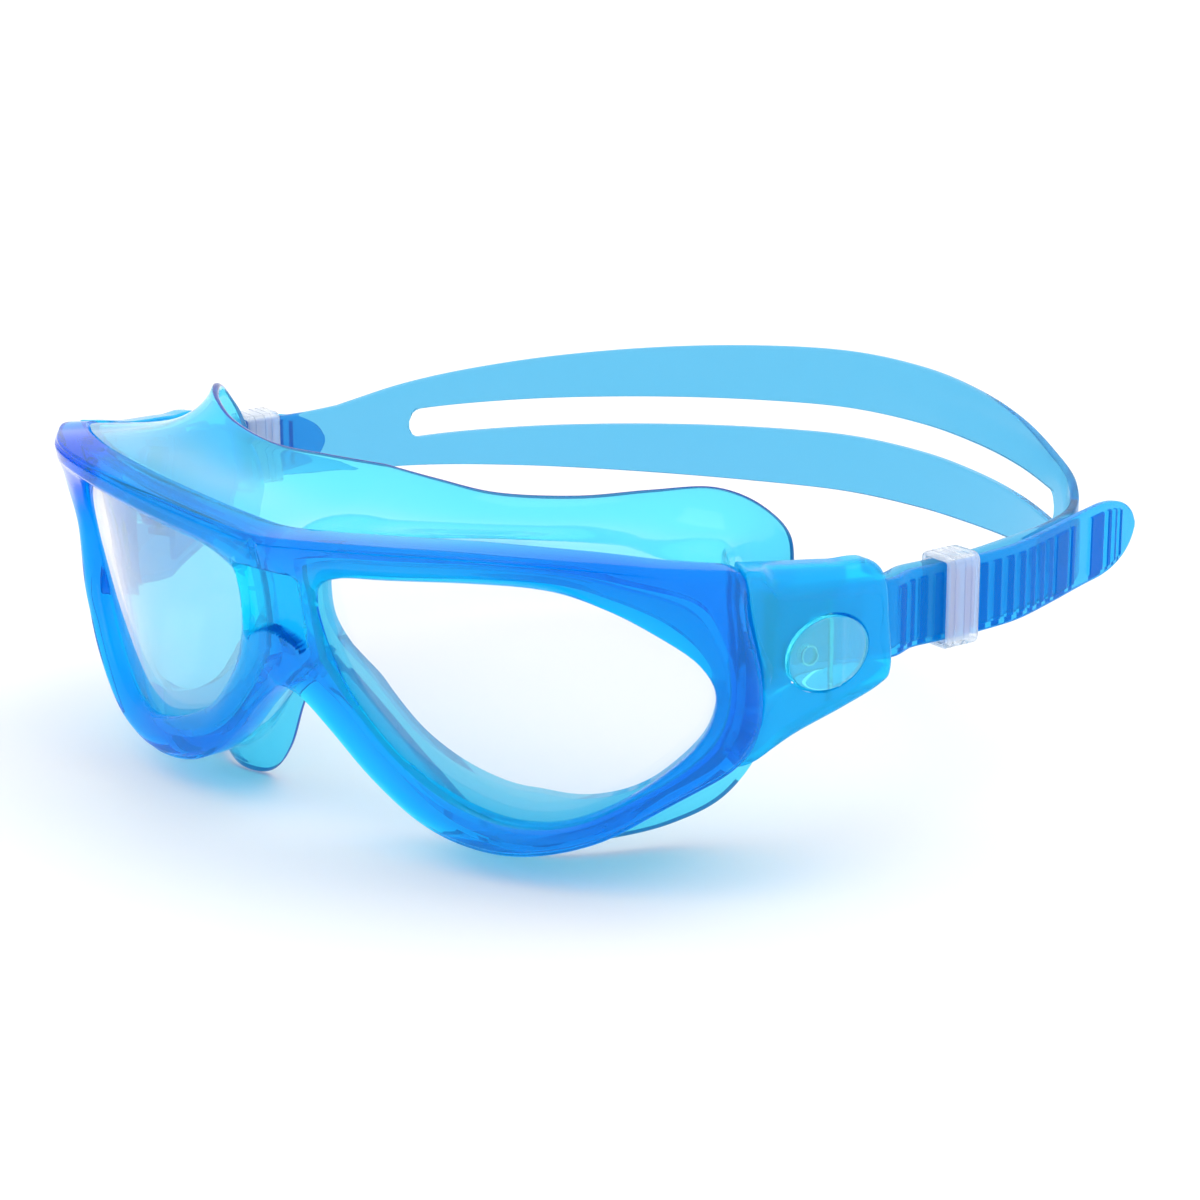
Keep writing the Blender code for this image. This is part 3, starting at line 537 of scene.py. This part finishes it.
def face_seal(finish, edge_finish):
    """A flange behind both lenses, with one skirt that flares towards its beaded rim."""
    window, outer, normal = rim_stations(SEAL_INSET)
    skin, across = seal_skin(outer, normal)
    lip_depth, front_depth, rear_depth = SEAL_DEPTHS
    lip = flange_lip(window, outer)
    lining = skin - across * SEAL_WALL
    forward = skin[:, -1] - skin[:, -2]
    forward /= np.linalg.norm(forward, axis=1)[:, None]
    centre = (skin[:, -1] + lining[:, -1]) / 2 - forward * BEAD_BACK
    half = (skin[:, -1] - lining[:, -1]) / 2 * BEAD_SWELL
    bulge = forward * np.linalg.norm(half, axis=1)[:, None]
    turns = np.radians((0, 30, 60, 90, 120, 150, 180))
    bead = np.stack([centre + half * math.cos(turn) + bulge * math.sin(turn) for turn in turns], axis=1)
    rings = []
    for index, (inner_edge, outer_edge) in enumerate(zip(window, outer)):
        ring = [surface(*lip[index], lip_depth)]
        for share, depth in ((SEAL_STEP[0], lip_depth), (SEAL_STEP[1], front_depth)):
            ring.append(surface(*(inner_edge + (outer_edge - inner_edge) * share), depth))
        if index < len(skin):
            ring += list(skin[index, :-1]) + list(bead[index]) + list(lining[index, -2:0:-1])
            inner_corner = outer_edge - normal[index] * SEAL_WALL
        else:
            ring += [surface(*outer_edge, front_depth)] * (2 * SEAL_ROWS + len(turns) - 1)
            inner_corner = outer_edge
        ring.append(surface(*inner_corner, rear_depth))
        ring.append(surface(*lip[index], rear_depth))
        rings.append(ring)
    count = len(rings[0])
    skip = lambda loop, index: loop >= LAST_PAIR * STEPS and 3 <= index < count - 2
    faces = grid_faces(len(rings), count, skip=skip)
    # The bead's outward faces take the dark finish: painted shade for the dark line along the rim's
    # rounding.
    first = 3 + SEAL_ROWS
    painted_rim_shade = range(first + 1, first + len(turns) - 2)
    pale_start, pale_end = PALE_PAIRS
    marks = []
    for face in faces:
        pale = pale_start < face[0] // count / STEPS < pale_end
        marks.append(int(face[0] % count in painted_rim_shade and not pale))
    marks *= 2
    points, faces = both_halves(np.array(rings).reshape(-1, 3), faces)
    return mesh_object("seal_skirt", points, faces, [finish, edge_finish], marks, sharp=50)


def block(s_range, d_range, z_range, side):
    """A bent box in pattern coordinates, used as a cutter."""
    corners = [surface(s, z, d) * (side, 1, 1) for s in s_range for d in d_range for z in z_range]
    faces = [(0, 1, 3, 2), (4, 6, 7, 5), (0, 4, 5, 1), (2, 3, 7, 6), (0, 2, 6, 4), (1, 5, 7, 3)]
    return mesh_object("tool", corners, faces)


def prism(outline, depths, side):
    """An outline in the pattern pushed through between two depths, used as a cutter."""
    outline = np.array(outline, float)
    count = len(outline)
    points = np.vstack([surface(outline[:, 0], outline[:, 1], depth) for depth in depths]) * (side, 1, 1)
    faces = [list(range(count)), list(range(2 * count - 1, count - 1, -1))]
    faces += [(i, (i + 1) % count, count + (i + 1) % count, count + i) for i in range(count)]
    return mesh_object("tool", points, faces)


def combine(obj, tool, operation):
    """Apply a Boolean with the tool, then drop the tool."""
    modifier = obj.modifiers.new("cut", "BOOLEAN")
    modifier.operation = operation
    modifier.solver = "EXACT"
    modifier.object = tool
    graph = bpy.context.evaluated_depsgraph_get()
    data = bpy.data.meshes.new_from_object(obj.evaluated_get(graph))
    obj.modifiers.clear()
    obj.data = data
    bpy.data.objects.remove(tool, do_unlink=True)
    data.shade_smooth()
    data.set_sharp_from_angle(angle=math.radians(35))


def ellipse(centre, radii, sides=96):
    turns = np.arange(sides) * 2 * math.pi / sides
    return np.stack([centre[0] + radii[0] * np.cos(turns), centre[1] + radii[1] * np.sin(turns)], axis=1)


def buckle_housing(name, side, finish):
    """An open box with a rounded outer face and border, a button opening and a strap opening."""
    outline = spline(HOUSING_OUTLINE, STEPS, closed=True)
    low, high, height = HOUSING_SPINE
    spine = np.stack([np.clip(outline[:, 0], low, high), np.full(len(outline), height)], axis=1)
    toward = (spine - outline) / np.linalg.norm(spine - outline, axis=1)[:, None]
    top = np.maximum(0, -toward[:, 1]) ** 3
    shoulder = SHOULDER[0] + (SHOULDER[1] - SHOULDER[0]) * top
    seam, seam_start, seam_end = SEAM_SHOULDER
    shoulder = seam + (shoulder - seam) * smooth_step(seam_start, seam_end, outline[:, 0])
    shallow, deep = HOUSING_DEPTHS
    depth = shallow + (deep - shallow) * smooth_step(*HOUSING_DEEPEN, outline[:, 0])
    depth = depth * (1 - top) + TOP_DEPTH * top
    wall = HOUSING_WALL
    lining = -wall - LINING_GAP
    nil = 0 * depth
    loops = [(shoulder + inset, nil + out) for inset, out in FACE_BORDER]
    for turn in np.radians((20, 40, 60, 75, 90)):
        loops.append((shoulder * (1 - math.sin(turn)), -shoulder * (1 - math.cos(turn))))
    outside, inside = HOUSING_EASE
    loops += [(nil, outside - depth), (nil + outside, -depth)]
    loops += [(nil + wall - inside, -depth), (nil + wall, inside - depth)]
    loops += [(nil + wall, -shoulder - wall * 0.4), (shoulder * 0.35 + wall, -shoulder * 0.3 - wall)]
    loops += [(shoulder + wall, nil + lining)]
    rows = []
    for inset, out in loops:
        loop = outline + toward * inset[:, None]
        rows.append(surface(loop[:, 0], loop[:, 1], out))
    count = len(outline)
    faces = grid_faces(len(rows), count, around=False)
    last = (len(rows) - 1) * count
    border, sunk = FACE_BORDER[0]
    front = outline + toward * (shoulder[:, None] + border)
    back = outline + toward * (shoulder[:, None] + wall)
    middle = front.mean(axis=0)
    points = np.vstack(rows)
    for previous, source, out in ((0, front, sunk), (last, back, lining)):
        for share in (0.8, 0.6, 0.4, 0.2):
            loop = middle + (source - middle) * share
            start = len(points)
            points = np.vstack([points, surface(loop[:, 0], loop[:, 1], out)])
            for i in range(count):
                j = (i + 1) % count
                faces.append((previous + i, previous + j, start + j, start + i))
            previous = start
        start = len(points)
        points = np.vstack([points, surface(*middle, out)[None]])
        faces += [(previous + i, previous + (i + 1) % count, start) for i in range(count)]
    housing = mesh_object(name, points * (side, 1, 1), faces, [finish])
    grown = np.array(BUTTON_RADII) + BUTTON_CLEARANCE
    combine(housing, prism(ellipse(BUTTON_CENTRE, grown), (2, -2.2), side), "DIFFERENCE")
    combine(housing, block(*SLOT_OPENING, side), "DIFFERENCE")
    return housing


def release_button(name, side, finish):
    """A clear oval rocker with a ring on its press pad and a ridge over its axle."""
    centre_s, centre_z = BUTTON_CENTRE
    place, ridge_half, ridge_rise, fall = RIDGE
    ring_s, ring_z = centre_s + RING_CENTRE[0], centre_z + RING_CENTRE[1]
    radius, ring_half, ring_depth = RING
    back = tuple((share, BUTTON_BACK) for share in (0.3, 0.6, 0.97))
    rows = []
    for share, depth in back + BUTTON_PROFILE:
        s, z = ellipse(BUTTON_CENTRE, np.array(BUTTON_RADII) * share).T
        out = np.full(len(s), depth)
        if depth > 0.3:
            past = s - centre_s - place
            ring = np.abs(np.hypot(s - ring_s, z - ring_z) - radius)
            out = out + ridge_rise * np.exp(-((past / ridge_half) ** 2)) - fall * np.maximum(0, past)
            out = out - ring_depth * np.exp(-((ring / ring_half) ** 2))
        rows.append(surface(s, z, out))
    count = len(rows[0])
    tips = [surface(centre_s, centre_z, depth)[None] for depth in (BUTTON_BACK, BUTTON_TOP)]
    points = np.vstack(rows + tips) * (side, 1, 1)
    faces = grid_faces(len(rows), count, around=False)
    last = (len(rows) - 1) * count
    tip = len(points) - 2
    for index in range(count):
        ahead = (index + 1) % count
        faces.append((tip, index, ahead))
        faces.append((tip + 1, last + ahead, last + index))
    return mesh_object(name, points, faces, [finish])


def flat(s, d):
    """Plan point in millimetres at distance s and depth d, half way up."""
    return tuple(surface(s, 0, d)[:2])


def run_frame(run):
    """Start, length, direction and outward side of the straight stretch behind a buckle."""
    near, far = np.array(run)
    length = np.linalg.norm(far - near)
    along = (far - near) / length
    return near, length, along, np.array([along[1], -along[0]])


def side_run(run, tail_end):
    """Plan points of one end of the strap: the tail, the turn round the roller, and the inner layer."""
    near, length, along, out = run_frame(run)
    straight = [near + along * length * share for share in RUN_SHARES]
    tail = list(tail_end[::-1]) + [tuple(point + out * LAYER_OFFSET) for point in straight[::-1]]
    tail += [flat(*point) for point in TAIL_IN_BUCKLE]
    s_roller, d_roller = ROLLER
    wrap = []
    for degrees in (0, 45, 90, 135, 180):
        turn = math.radians(degrees)
        wrap.append(flat(s_roller - WRAP_RADIUS * math.sin(turn), d_roller + WRAP_RADIUS * math.cos(turn)))
    return tail + wrap + [flat(*point) for point in INNER_IN_BUCKLE] + [tuple(point) for point in straight]


def strap_path():
    """Plan curve of the whole strap at even steps, finer along the tails."""
    other = [(-x, y) for x, y in reversed(side_run(RIGHT_RUN, RIGHT_TAIL))]
    fine = spline(side_run(LEFT_RUN, LEFT_TAIL) + list(BACK) + other, 24)
    travelled = np.concatenate([[0], np.cumsum(np.linalg.norm(np.diff(fine, axis=0), axis=1))])
    total = travelled[-1]
    band_end = total - RIGHT_FINE
    left = np.arange(0, LEFT_FINE, 0.22)
    band = np.arange(LEFT_FINE, band_end, 0.8)
    spots = np.concatenate([left, band, np.linspace(band_end, total, 240)])
    return np.stack([np.interp(spots, travelled, column) for column in fine.T], axis=1), spots


def strap_heights(path, travelled):
    """Where the slot starts and ends along the strap, and the strap's height at each step."""
    nearest = [np.argmin(np.linalg.norm(path - np.array(point), axis=1)) for point in SLOT_ENDS]
    start, end = travelled[nearest]
    share = np.clip((travelled - start + BAND_TAPER) / (end - start + 2 * BAND_TAPER), 0, 1)
    wide = np.sin(math.pi * share**BAND_SKEW)
    reach = np.minimum(travelled, travelled[-1] - travelled)
    tip = np.sqrt(np.clip(1 - (1 - np.clip(reach / TIP_LENGTH, 0, 1)) ** 2.2, 0.02, 1))
    return start, end, (STRAP_HEIGHT + (BAND_HEIGHT - STRAP_HEIGHT) * wide) * tip


def rib_rise(travelled):
    """Height of the ribs' faces above the strap, as a share, at each distance from the tip."""
    rise = np.zeros(len(travelled))
    for middle, width in RIBS:
        away = np.abs(travelled - middle) - width / 2
        rise = np.maximum(rise, 1 - smooth_step(-0.1, 0.18, away))
    return rise


def slot_cutter(path, side, reach):
    """The strap's slot as a solid with round ends and flared edges. reach is the way to its near end."""
    half = STRAP_THICKNESS / 2
    round_end = np.sqrt(np.clip(1 - (1 - np.clip(reach / SLOT_ROUND, 0, 1)) ** 2, 0.02, 1))
    far, inner = 3, half - SLOT_EASE
    flare = ((inner, 0), (half, SLOT_EASE), (far, far - inner))
    edge = tuple((-x, grow) for x, grow in flare[::-1]) + flare
    rings = []
    for point, normal, share in zip(path, side, round_end):
        opening = SLOT_HEIGHT / 2 * share
        ring = [(*(point - normal * x), STRAP_Z + opening + grow) for x, grow in edge]
        ring += [(*(point - normal * x), STRAP_Z - opening - grow) for x, grow in edge[::-1]]
        rings.append(ring)
    count = len(rings[0])
    faces = grid_faces(len(rings), count, around=False)
    last = count * (len(rings) - 1)
    faces += [list(range(count)), list(range(last + count - 1, last - 1, -1))]
    return mesh_object("tool", np.array(rings).reshape(-1, 3), faces)


def head_strap(finish, tail_finish, rib_finish):
    """One band with rounded edges, ribs on its tails and a long slot that splits it at the back."""
    path, travelled = strap_path()
    start, end, height = strap_heights(path, travelled)
    tangent = np.gradient(path, axis=0)
    tangent /= np.linalg.norm(tangent, axis=1)[:, None]
    side = np.stack([tangent[:, 1], -tangent[:, 0]], axis=1)
    half = STRAP_THICKNESS / 2
    rise = np.maximum(rib_rise(travelled), rib_rise(travelled[-1] - travelled))
    sections = []
    for point, normal, tall, up in zip(path, side, height, rise):
        half_tall = tall / 2
        ease = min(STRAP_EASE, half_tall * 0.8)
        rib = max(min(RIB_HALF, half_tall - RIB_MARGIN), 0.05)
        corner = []
        for turn in np.radians((0, 30, 60, 90)):
            x = half - STRAP_EASE * (1 - math.sin(turn))
            corner.append((x, half_tall - ease * (1 - math.cos(turn))))
        outline = [(-x, z) for x, z in corner[::-1]] + corner
        face = [(half, rib + RIB_SLOPE), (half + RIB_HEIGHT * up, rib), (half + RIB_HEIGHT * up, 0.0)]
        outline += face + [(x, -z) for x, z in face[1::-1]]
        outline += [(x, -z) for x, z in corner[::-1]] + [(-x, -z) for x, z in corner]
        sections.append([(*(point - normal * x), STRAP_Z + z) for x, z in outline])
    count = len(sections[0])
    faces = grid_faces(len(sections), count, around=False)
    last = count * (len(sections) - 1)
    rib_edges = range(8, 13)
    marks = []
    for face in faces:
        loop, next_loop = face[0] // count, face[1] // count
        tail = min(travelled[loop], travelled[-1] - travelled[loop]) < TAIL_LENGTH
        ribbed = face[0] % count in rib_edges and min(rise[loop], rise[next_loop]) > 0.3
        marks.append(2 if ribbed else int(tail))
    faces += [list(range(count)), list(range(last + count - 1, last - 1, -1))]
    marks += [1, 1]
    points = np.array(sections).reshape(-1, 3)
    strap = mesh_object("strap_band", points, faces, [finish, tail_finish, rib_finish], marks)
    inside = (travelled >= start) & (travelled <= end)
    reach = np.minimum(travelled[inside] - start, end - travelled[inside])
    combine(strap, slot_cutter(path[inside], side[inside], reach), "DIFFERENCE")
    return strap


def strap_keeper(name, side, finish):
    """A rounded loop round both layers of the strap, with raised bands along its edges."""
    run, share = (LEFT_RUN, LEFT_KEEPER) if side > 0 else (RIGHT_RUN, RIGHT_KEEPER)
    near, length, along, out = run_frame(run)
    low = -STRAP_THICKNESS / 2 - KEEPER_GAP
    high = LAYER_OFFSET + STRAP_THICKNESS / 2 + RIB_HEIGHT + KEEPER_GAP
    tall = STRAP_HEIGHT / 2 + KEEPER_GAP
    centre = near + along * length * share
    half = KEEPER_LENGTH / 2
    wall = KEEPER_WALL
    end = [(half - along_loop, wall - deep) for along_loop, deep in KEEPER_EASE]
    profile = [(-x, thick) for x, thick in end[::-1]]
    for spot in GROOVES:
        profile += [(spot + x, wall - deep) for x, deep in GROOVE]
    profile += end + [(half - INNER_EASE, 0.0), (INNER_EASE - half, 0.0)]
    loops = []
    corners = ((high, tall, 0), (low, tall, 90), (low, -tall, 180), (high, -tall, 270))
    for corner_x, corner_z, first in corners:
        centre_x = corner_x - KEEPER_CORNER * (1 if corner_x == high else -1)
        centre_z = corner_z - KEEPER_CORNER * (1 if corner_z > 0 else -1)
        for turn in np.radians(first + np.arange(0, 91, 15)):
            ring = []
            for reach, thick in profile:
                radius = KEEPER_CORNER + thick
                plan = centre + along * reach + out * (centre_x + radius * math.cos(turn))
                ring.append((side * plan[0], plan[1], STRAP_Z + centre_z + radius * math.sin(turn)))
            loops.append(ring)
    count = len(profile)
    return mesh_object(name, np.array(loops).reshape(-1, 3), grid_faces(len(loops), count), [finish])


# ---------------------------------------------------------------- materials

# Distances from the middle, in metres, between which a tint blends to the one at the temples.
TEMPLE_BLEND = (0.028, 0.058)


def node(tree, kind, **settings):
    """A new shader node, with inputs or properties set by name."""
    made = tree.nodes.new(kind)
    for key, value in settings.items():
        if key in made.inputs:
            made.inputs[key].default_value = value
        else:
            setattr(made, key, value)
    return made


def clear_material(
    name,
    tint,
    *,
    bend,
    gloss,
    body,
    coat=1.0,
    roughness=0.02,
    grain=220.0,
    bump=0.03,
    painted_glow=None,
    ends=None,
    absorb=None,
    density=0,
):
    """A see-through plastic under a clear coat, with a tint that deepens with thickness.

    bend is its refractive index, gloss the coat's roughness, body the share of light let through, and ends
    the tint that it blends to at the temples. The glow is painted light: an emission that stands in for
    light scattered inside it.
    """
    made = bpy.data.materials.new(name)
    made.use_nodes = True
    tree = made.node_tree
    shader = tree.nodes["Principled BSDF"]
    shader.inputs["Base Color"].default_value = (*tint, 1)
    shader.inputs["Transmission Weight"].default_value = body
    shader.inputs["IOR"].default_value = bend
    shader.inputs["Coat Weight"].default_value = coat
    shader.inputs["Coat IOR"].default_value = 1.5
    shader.inputs["Coat Roughness"].default_value = gloss
    place = node(tree, "ShaderNodeTexCoord")
    noise = node(tree, "ShaderNodeTexNoise", Scale=grain, Detail=3.0, Roughness=0.55)
    tree.links.new(place.outputs["Object"], noise.inputs["Vector"])
    span = node(tree, "ShaderNodeMapRange")
    span.inputs["From Min"].default_value = 0.3
    span.inputs["From Max"].default_value = 0.7
    span.inputs["To Min"].default_value = roughness * 0.8
    span.inputs["To Max"].default_value = roughness * 1.25
    tree.links.new(noise.outputs["Fac"], span.inputs["Value"])
    tree.links.new(span.outputs["Result"], shader.inputs["Roughness"])
    raised = node(tree, "ShaderNodeBump", Strength=bump, Distance=0.0004)
    tree.links.new(noise.outputs["Fac"], raised.inputs["Height"])
    tree.links.new(raised.outputs["Normal"], shader.inputs["Normal"])
    tree.links.new(raised.outputs["Normal"], shader.inputs["Coat Normal"])
    if ends:
        split = node(tree, "ShaderNodeSeparateXYZ")
        tree.links.new(place.outputs["Object"], split.inputs["Vector"])
        reach = node(tree, "ShaderNodeMath", operation="ABSOLUTE")
        tree.links.new(split.outputs["X"], reach.inputs[0])
        fade = node(tree, "ShaderNodeMapRange", interpolation_type="SMOOTHSTEP")
        fade.inputs["From Min"].default_value = TEMPLE_BLEND[0]
        fade.inputs["From Max"].default_value = TEMPLE_BLEND[1]
        tree.links.new(reach.outputs["Value"], fade.inputs["Value"])
        blend = node(tree, "ShaderNodeMix", data_type="RGBA")
        blend.inputs[6].default_value = (*tint, 1)
        blend.inputs[7].default_value = (*ends, 1)
        tree.links.new(fade.outputs["Result"], blend.inputs["Factor"])
        tree.links.new(blend.outputs[2], shader.inputs["Base Color"])
    # Emission: painted light, a glow that stands in for light scattered inside the plastic.
    if painted_glow:
        shader.inputs["Emission Color"].default_value = (*painted_glow, 1)
        shader.inputs["Emission Strength"].default_value = 1.0
    if density:
        volume = node(tree, "ShaderNodeVolumeAbsorption", Density=density)
        volume.inputs["Color"].default_value = (*absorb, 1)
        tree.links.new(volume.outputs["Volume"], tree.nodes["Material Output"].inputs["Volume"])
    return made


def metal(name, colour, roughness):
    made = bpy.data.materials.new(name)
    made.use_nodes = True
    tree = made.node_tree
    shader = tree.nodes["Principled BSDF"]
    shader.inputs["Base Color"].default_value = (*colour, 1)
    shader.inputs["Metallic"].default_value = 1.0
    place = node(tree, "ShaderNodeTexCoord")
    noise = node(tree, "ShaderNodeTexNoise", Scale=900.0, Detail=2.0)
    tree.links.new(place.outputs["Object"], noise.inputs["Vector"])
    span = node(tree, "ShaderNodeMapRange")
    span.inputs["To Min"].default_value = roughness * 0.7
    span.inputs["To Max"].default_value = roughness * 1.3
    tree.links.new(noise.outputs["Fac"], span.inputs["Value"])
    tree.links.new(span.outputs["Result"], shader.inputs["Roughness"])
    return made


FRAME = {"bend": 1.07, "gloss": 0.05, "coat": 0.22, "absorb": (0.0, 0.86, 0.99), "density": 900}
SILICONE = {"bend": 1.08, "gloss": 0.3, "roughness": 0.1, "grain": 700.0, "bump": 0.05}
SILICONE |= {"absorb": (0.0, 0.78, 0.97), "density": 100}
HOUSING = {"bend": 1.1, "gloss": 0.22, "coat": 0.3, "roughness": 0.12, "grain": 900.0, "bump": 0.05}
HOUSING |= {"absorb": (0.0, 0.86, 0.98), "density": 200}
SEAL = {"bend": 1.1, "gloss": 0.05, "coat": 0.4, "absorb": (0.0, 0.87, 0.975), "density": 50}
LENS = {"bend": 1.15, "bump": 0.0}
FROST = {"bend": 1.12, "gloss": 0.2, "roughness": 0.1, "grain": 600.0, "bump": 0.0}

# The glow colours below are painted light: emission that stands in for light scattered inside the plastic.
frame_blue = clear_material(
    "frame_blue", (0.07, 0.96, 1.0), body=0.9, painted_glow=(0.0, 0.015, 0.035), ends=(0.03, 0.64, 0.97), **FRAME
)
# A darker tint for the nose panel's step walls: painted shade.
frame_step_shade = clear_material("frame_step_shade", (0.0, 0.4, 0.92), body=0.8, painted_glow=(0.0, 0.005, 0.035), **FRAME)
seal_cyan = clear_material("seal_cyan", (0.15, 0.79, 0.97), body=0.78, painted_glow=(0.0, 0.02, 0.03), **SEAL)
# Near-black blue for the seal's rim bead: painted shade for the dark line along its rounded edge.
seal_rim_shade = clear_material("seal_rim_shade", (0.0, 0.04, 0.4), bend=1.1, gloss=0.1, body=0.6, coat=0.5)
lens_clear = clear_material("lens_clear", (0.93, 0.93, 0.96), gloss=0.01, body=0.95, **LENS)
lens_edge = clear_material("lens_edge", (0.5, 0.92, 1.0), gloss=0.1, body=0.3, coat=0.3, **LENS)
strap_blue = clear_material("strap_blue", (0.16, 0.56, 0.82), body=0.88, coat=0.25, **SILICONE)
strap_tail = clear_material(
    "strap_tail", (0.04, 0.54, 0.92), body=0.8, coat=0.2, painted_glow=(0.0, 0.01, 0.04), **SILICONE
)
strap_rib = clear_material(
    "strap_rib", (0.0, 0.42, 0.98), body=0.75, coat=0.1, painted_glow=(0.0, 0.01, 0.06), **SILICONE
)
housing_blue = clear_material(
    "housing_blue", (0.01, 0.64, 0.98), body=0.7, painted_glow=(0.0, 0.02, 0.03), **HOUSING
)
button_clear = clear_material(
    "button_clear", (0.15, 0.88, 1.0), bend=1.2, gloss=0.02, body=0.8, painted_glow=(0.0, 0.04, 0.05)
)
clear_plastic = clear_material("clear_plastic", (0.9, 0.97, 1.0), bend=1.2, gloss=0.02, body=0.85)
keeper_frost = clear_material("keeper_frost", (0.84, 0.9, 0.98), body=0.72, **FROST)
steel = metal("stainless_steel", (0.62, 0.63, 0.66), 0.25)


def stand_for(piece, cad_node, body):
    """Show the piece in place of its CAD node."""
    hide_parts(cad_node)
    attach(piece, body)


stand_for(front_frame(frame_blue, frame_step_shade), "front_frame", "goggles")
stand_for(face_seal(seal_cyan, seal_rim_shade), "face_seal", "goggles")
stand_for(head_strap(strap_blue, strap_tail, strap_rib), "head_strap", "goggles")
for word, side in (("left", 1), ("right", -1)):
    plate = lens(word + "_lens_plate", side, lens_clear, lens_edge)
    stand_for(plate, word + "_lens", "goggles")
    housing = buckle_housing(word + "_housing_shell", side, housing_blue)
    stand_for(housing, word + "_buckle_housing", "goggles")
    button = release_button(word + "_button_pad", side, button_clear)
    stand_for(button, word + "_release_button", word + "_button")
    keeper = strap_keeper(word + "_keeper_loop", side, keeper_frost)
    stand_for(keeper, word + "_strap_keeper", word + "_keeper")
    for part, finish in (
        ("_buckle_cover", housing_blue),
        ("_button_pin", steel),
        ("_button_spring", steel),
        ("_strap_roller", clear_plastic),
        ("_roller_pin", steel),
    ):
        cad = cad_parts[word + part]
        cad.data.materials.clear()
        cad.data.materials.append(finish)


# ---------------------------------------------------------------- floor, light and camera

# The floor lies just under the seal's lowest bead.
FLOOR_GAP = 0.0004
floor_height = min(corner[2] for corner in cad_box) - FLOOR_GAP
bpy.ops.mesh.primitive_plane_add(size=8, location=(0, 0, floor_height))
floor = bpy.context.object
floor.name = "floor"
paper = bpy.data.materials.new("paper")
paper.use_nodes = True
paper_shader = paper.node_tree.nodes["Principled BSDF"]
paper_shader.inputs["Base Color"].default_value = (0.93, 0.93, 0.94, 1)
paper_shader.inputs["Roughness"].default_value = 0.9
floor.data.materials.append(paper)

world = bpy.data.worlds.new("studio")
bpy.context.scene.world = world
world.use_nodes = True
sky = world.node_tree.nodes["Background"]
sky.inputs["Color"].default_value = (1.0, 1.0, 1.0, 1)
sky.inputs["Strength"].default_value = 1.1


def softbox(name, location, target, size, power):
    """A rectangular area lamp aimed at the target."""
    lamp = bpy.data.lights.new(name, "AREA")
    lamp.shape = "RECTANGLE"
    lamp.size, lamp.size_y = size
    lamp.energy = power
    obj = bpy.data.objects.new(name, lamp)
    obj.location = location
    obj.rotation_euler = (Vector(target) - Vector(location)).to_track_quat("-Z", "Y").to_euler()
    bpy.context.scene.collection.objects.link(obj)


softbox("key", (-0.25, -0.55, 0.75), (0, 0, 0), (0.6, 0.4), 1.1)
softbox("top", (0.3, 0.35, 0.9), (0, 0.03, 0), (0.7, 0.5), 1.57)

# Camera axes, with its distance and target in metres.
CAMERA_RIGHT = Vector((0.766, 0.643, 0))
CAMERA_UP = Vector((-0.1847, 0.2201, 0.9578))
CAMERA_BACK = Vector((0.6157, -0.7337, 0.2874))
CAMERA_DISTANCE = 0.594
CAMERA_TARGET = Vector((0, 0.045, -0.008))

camera_data = bpy.data.cameras.new("camera")
camera_data.sensor_width = 36
camera_data.lens = 104
camera_data.clip_start = 0.01
camera = bpy.data.objects.new("camera", camera_data)
turn = Matrix((CAMERA_RIGHT, CAMERA_UP, CAMERA_BACK)).transposed().to_4x4()
camera.matrix_world = Matrix.Translation(CAMERA_BACK * CAMERA_DISTANCE + CAMERA_TARGET) @ turn
bpy.context.scene.collection.objects.link(camera)
bpy.context.scene.camera = camera
bpy.context.scene.view_settings.view_transform = "Standard"
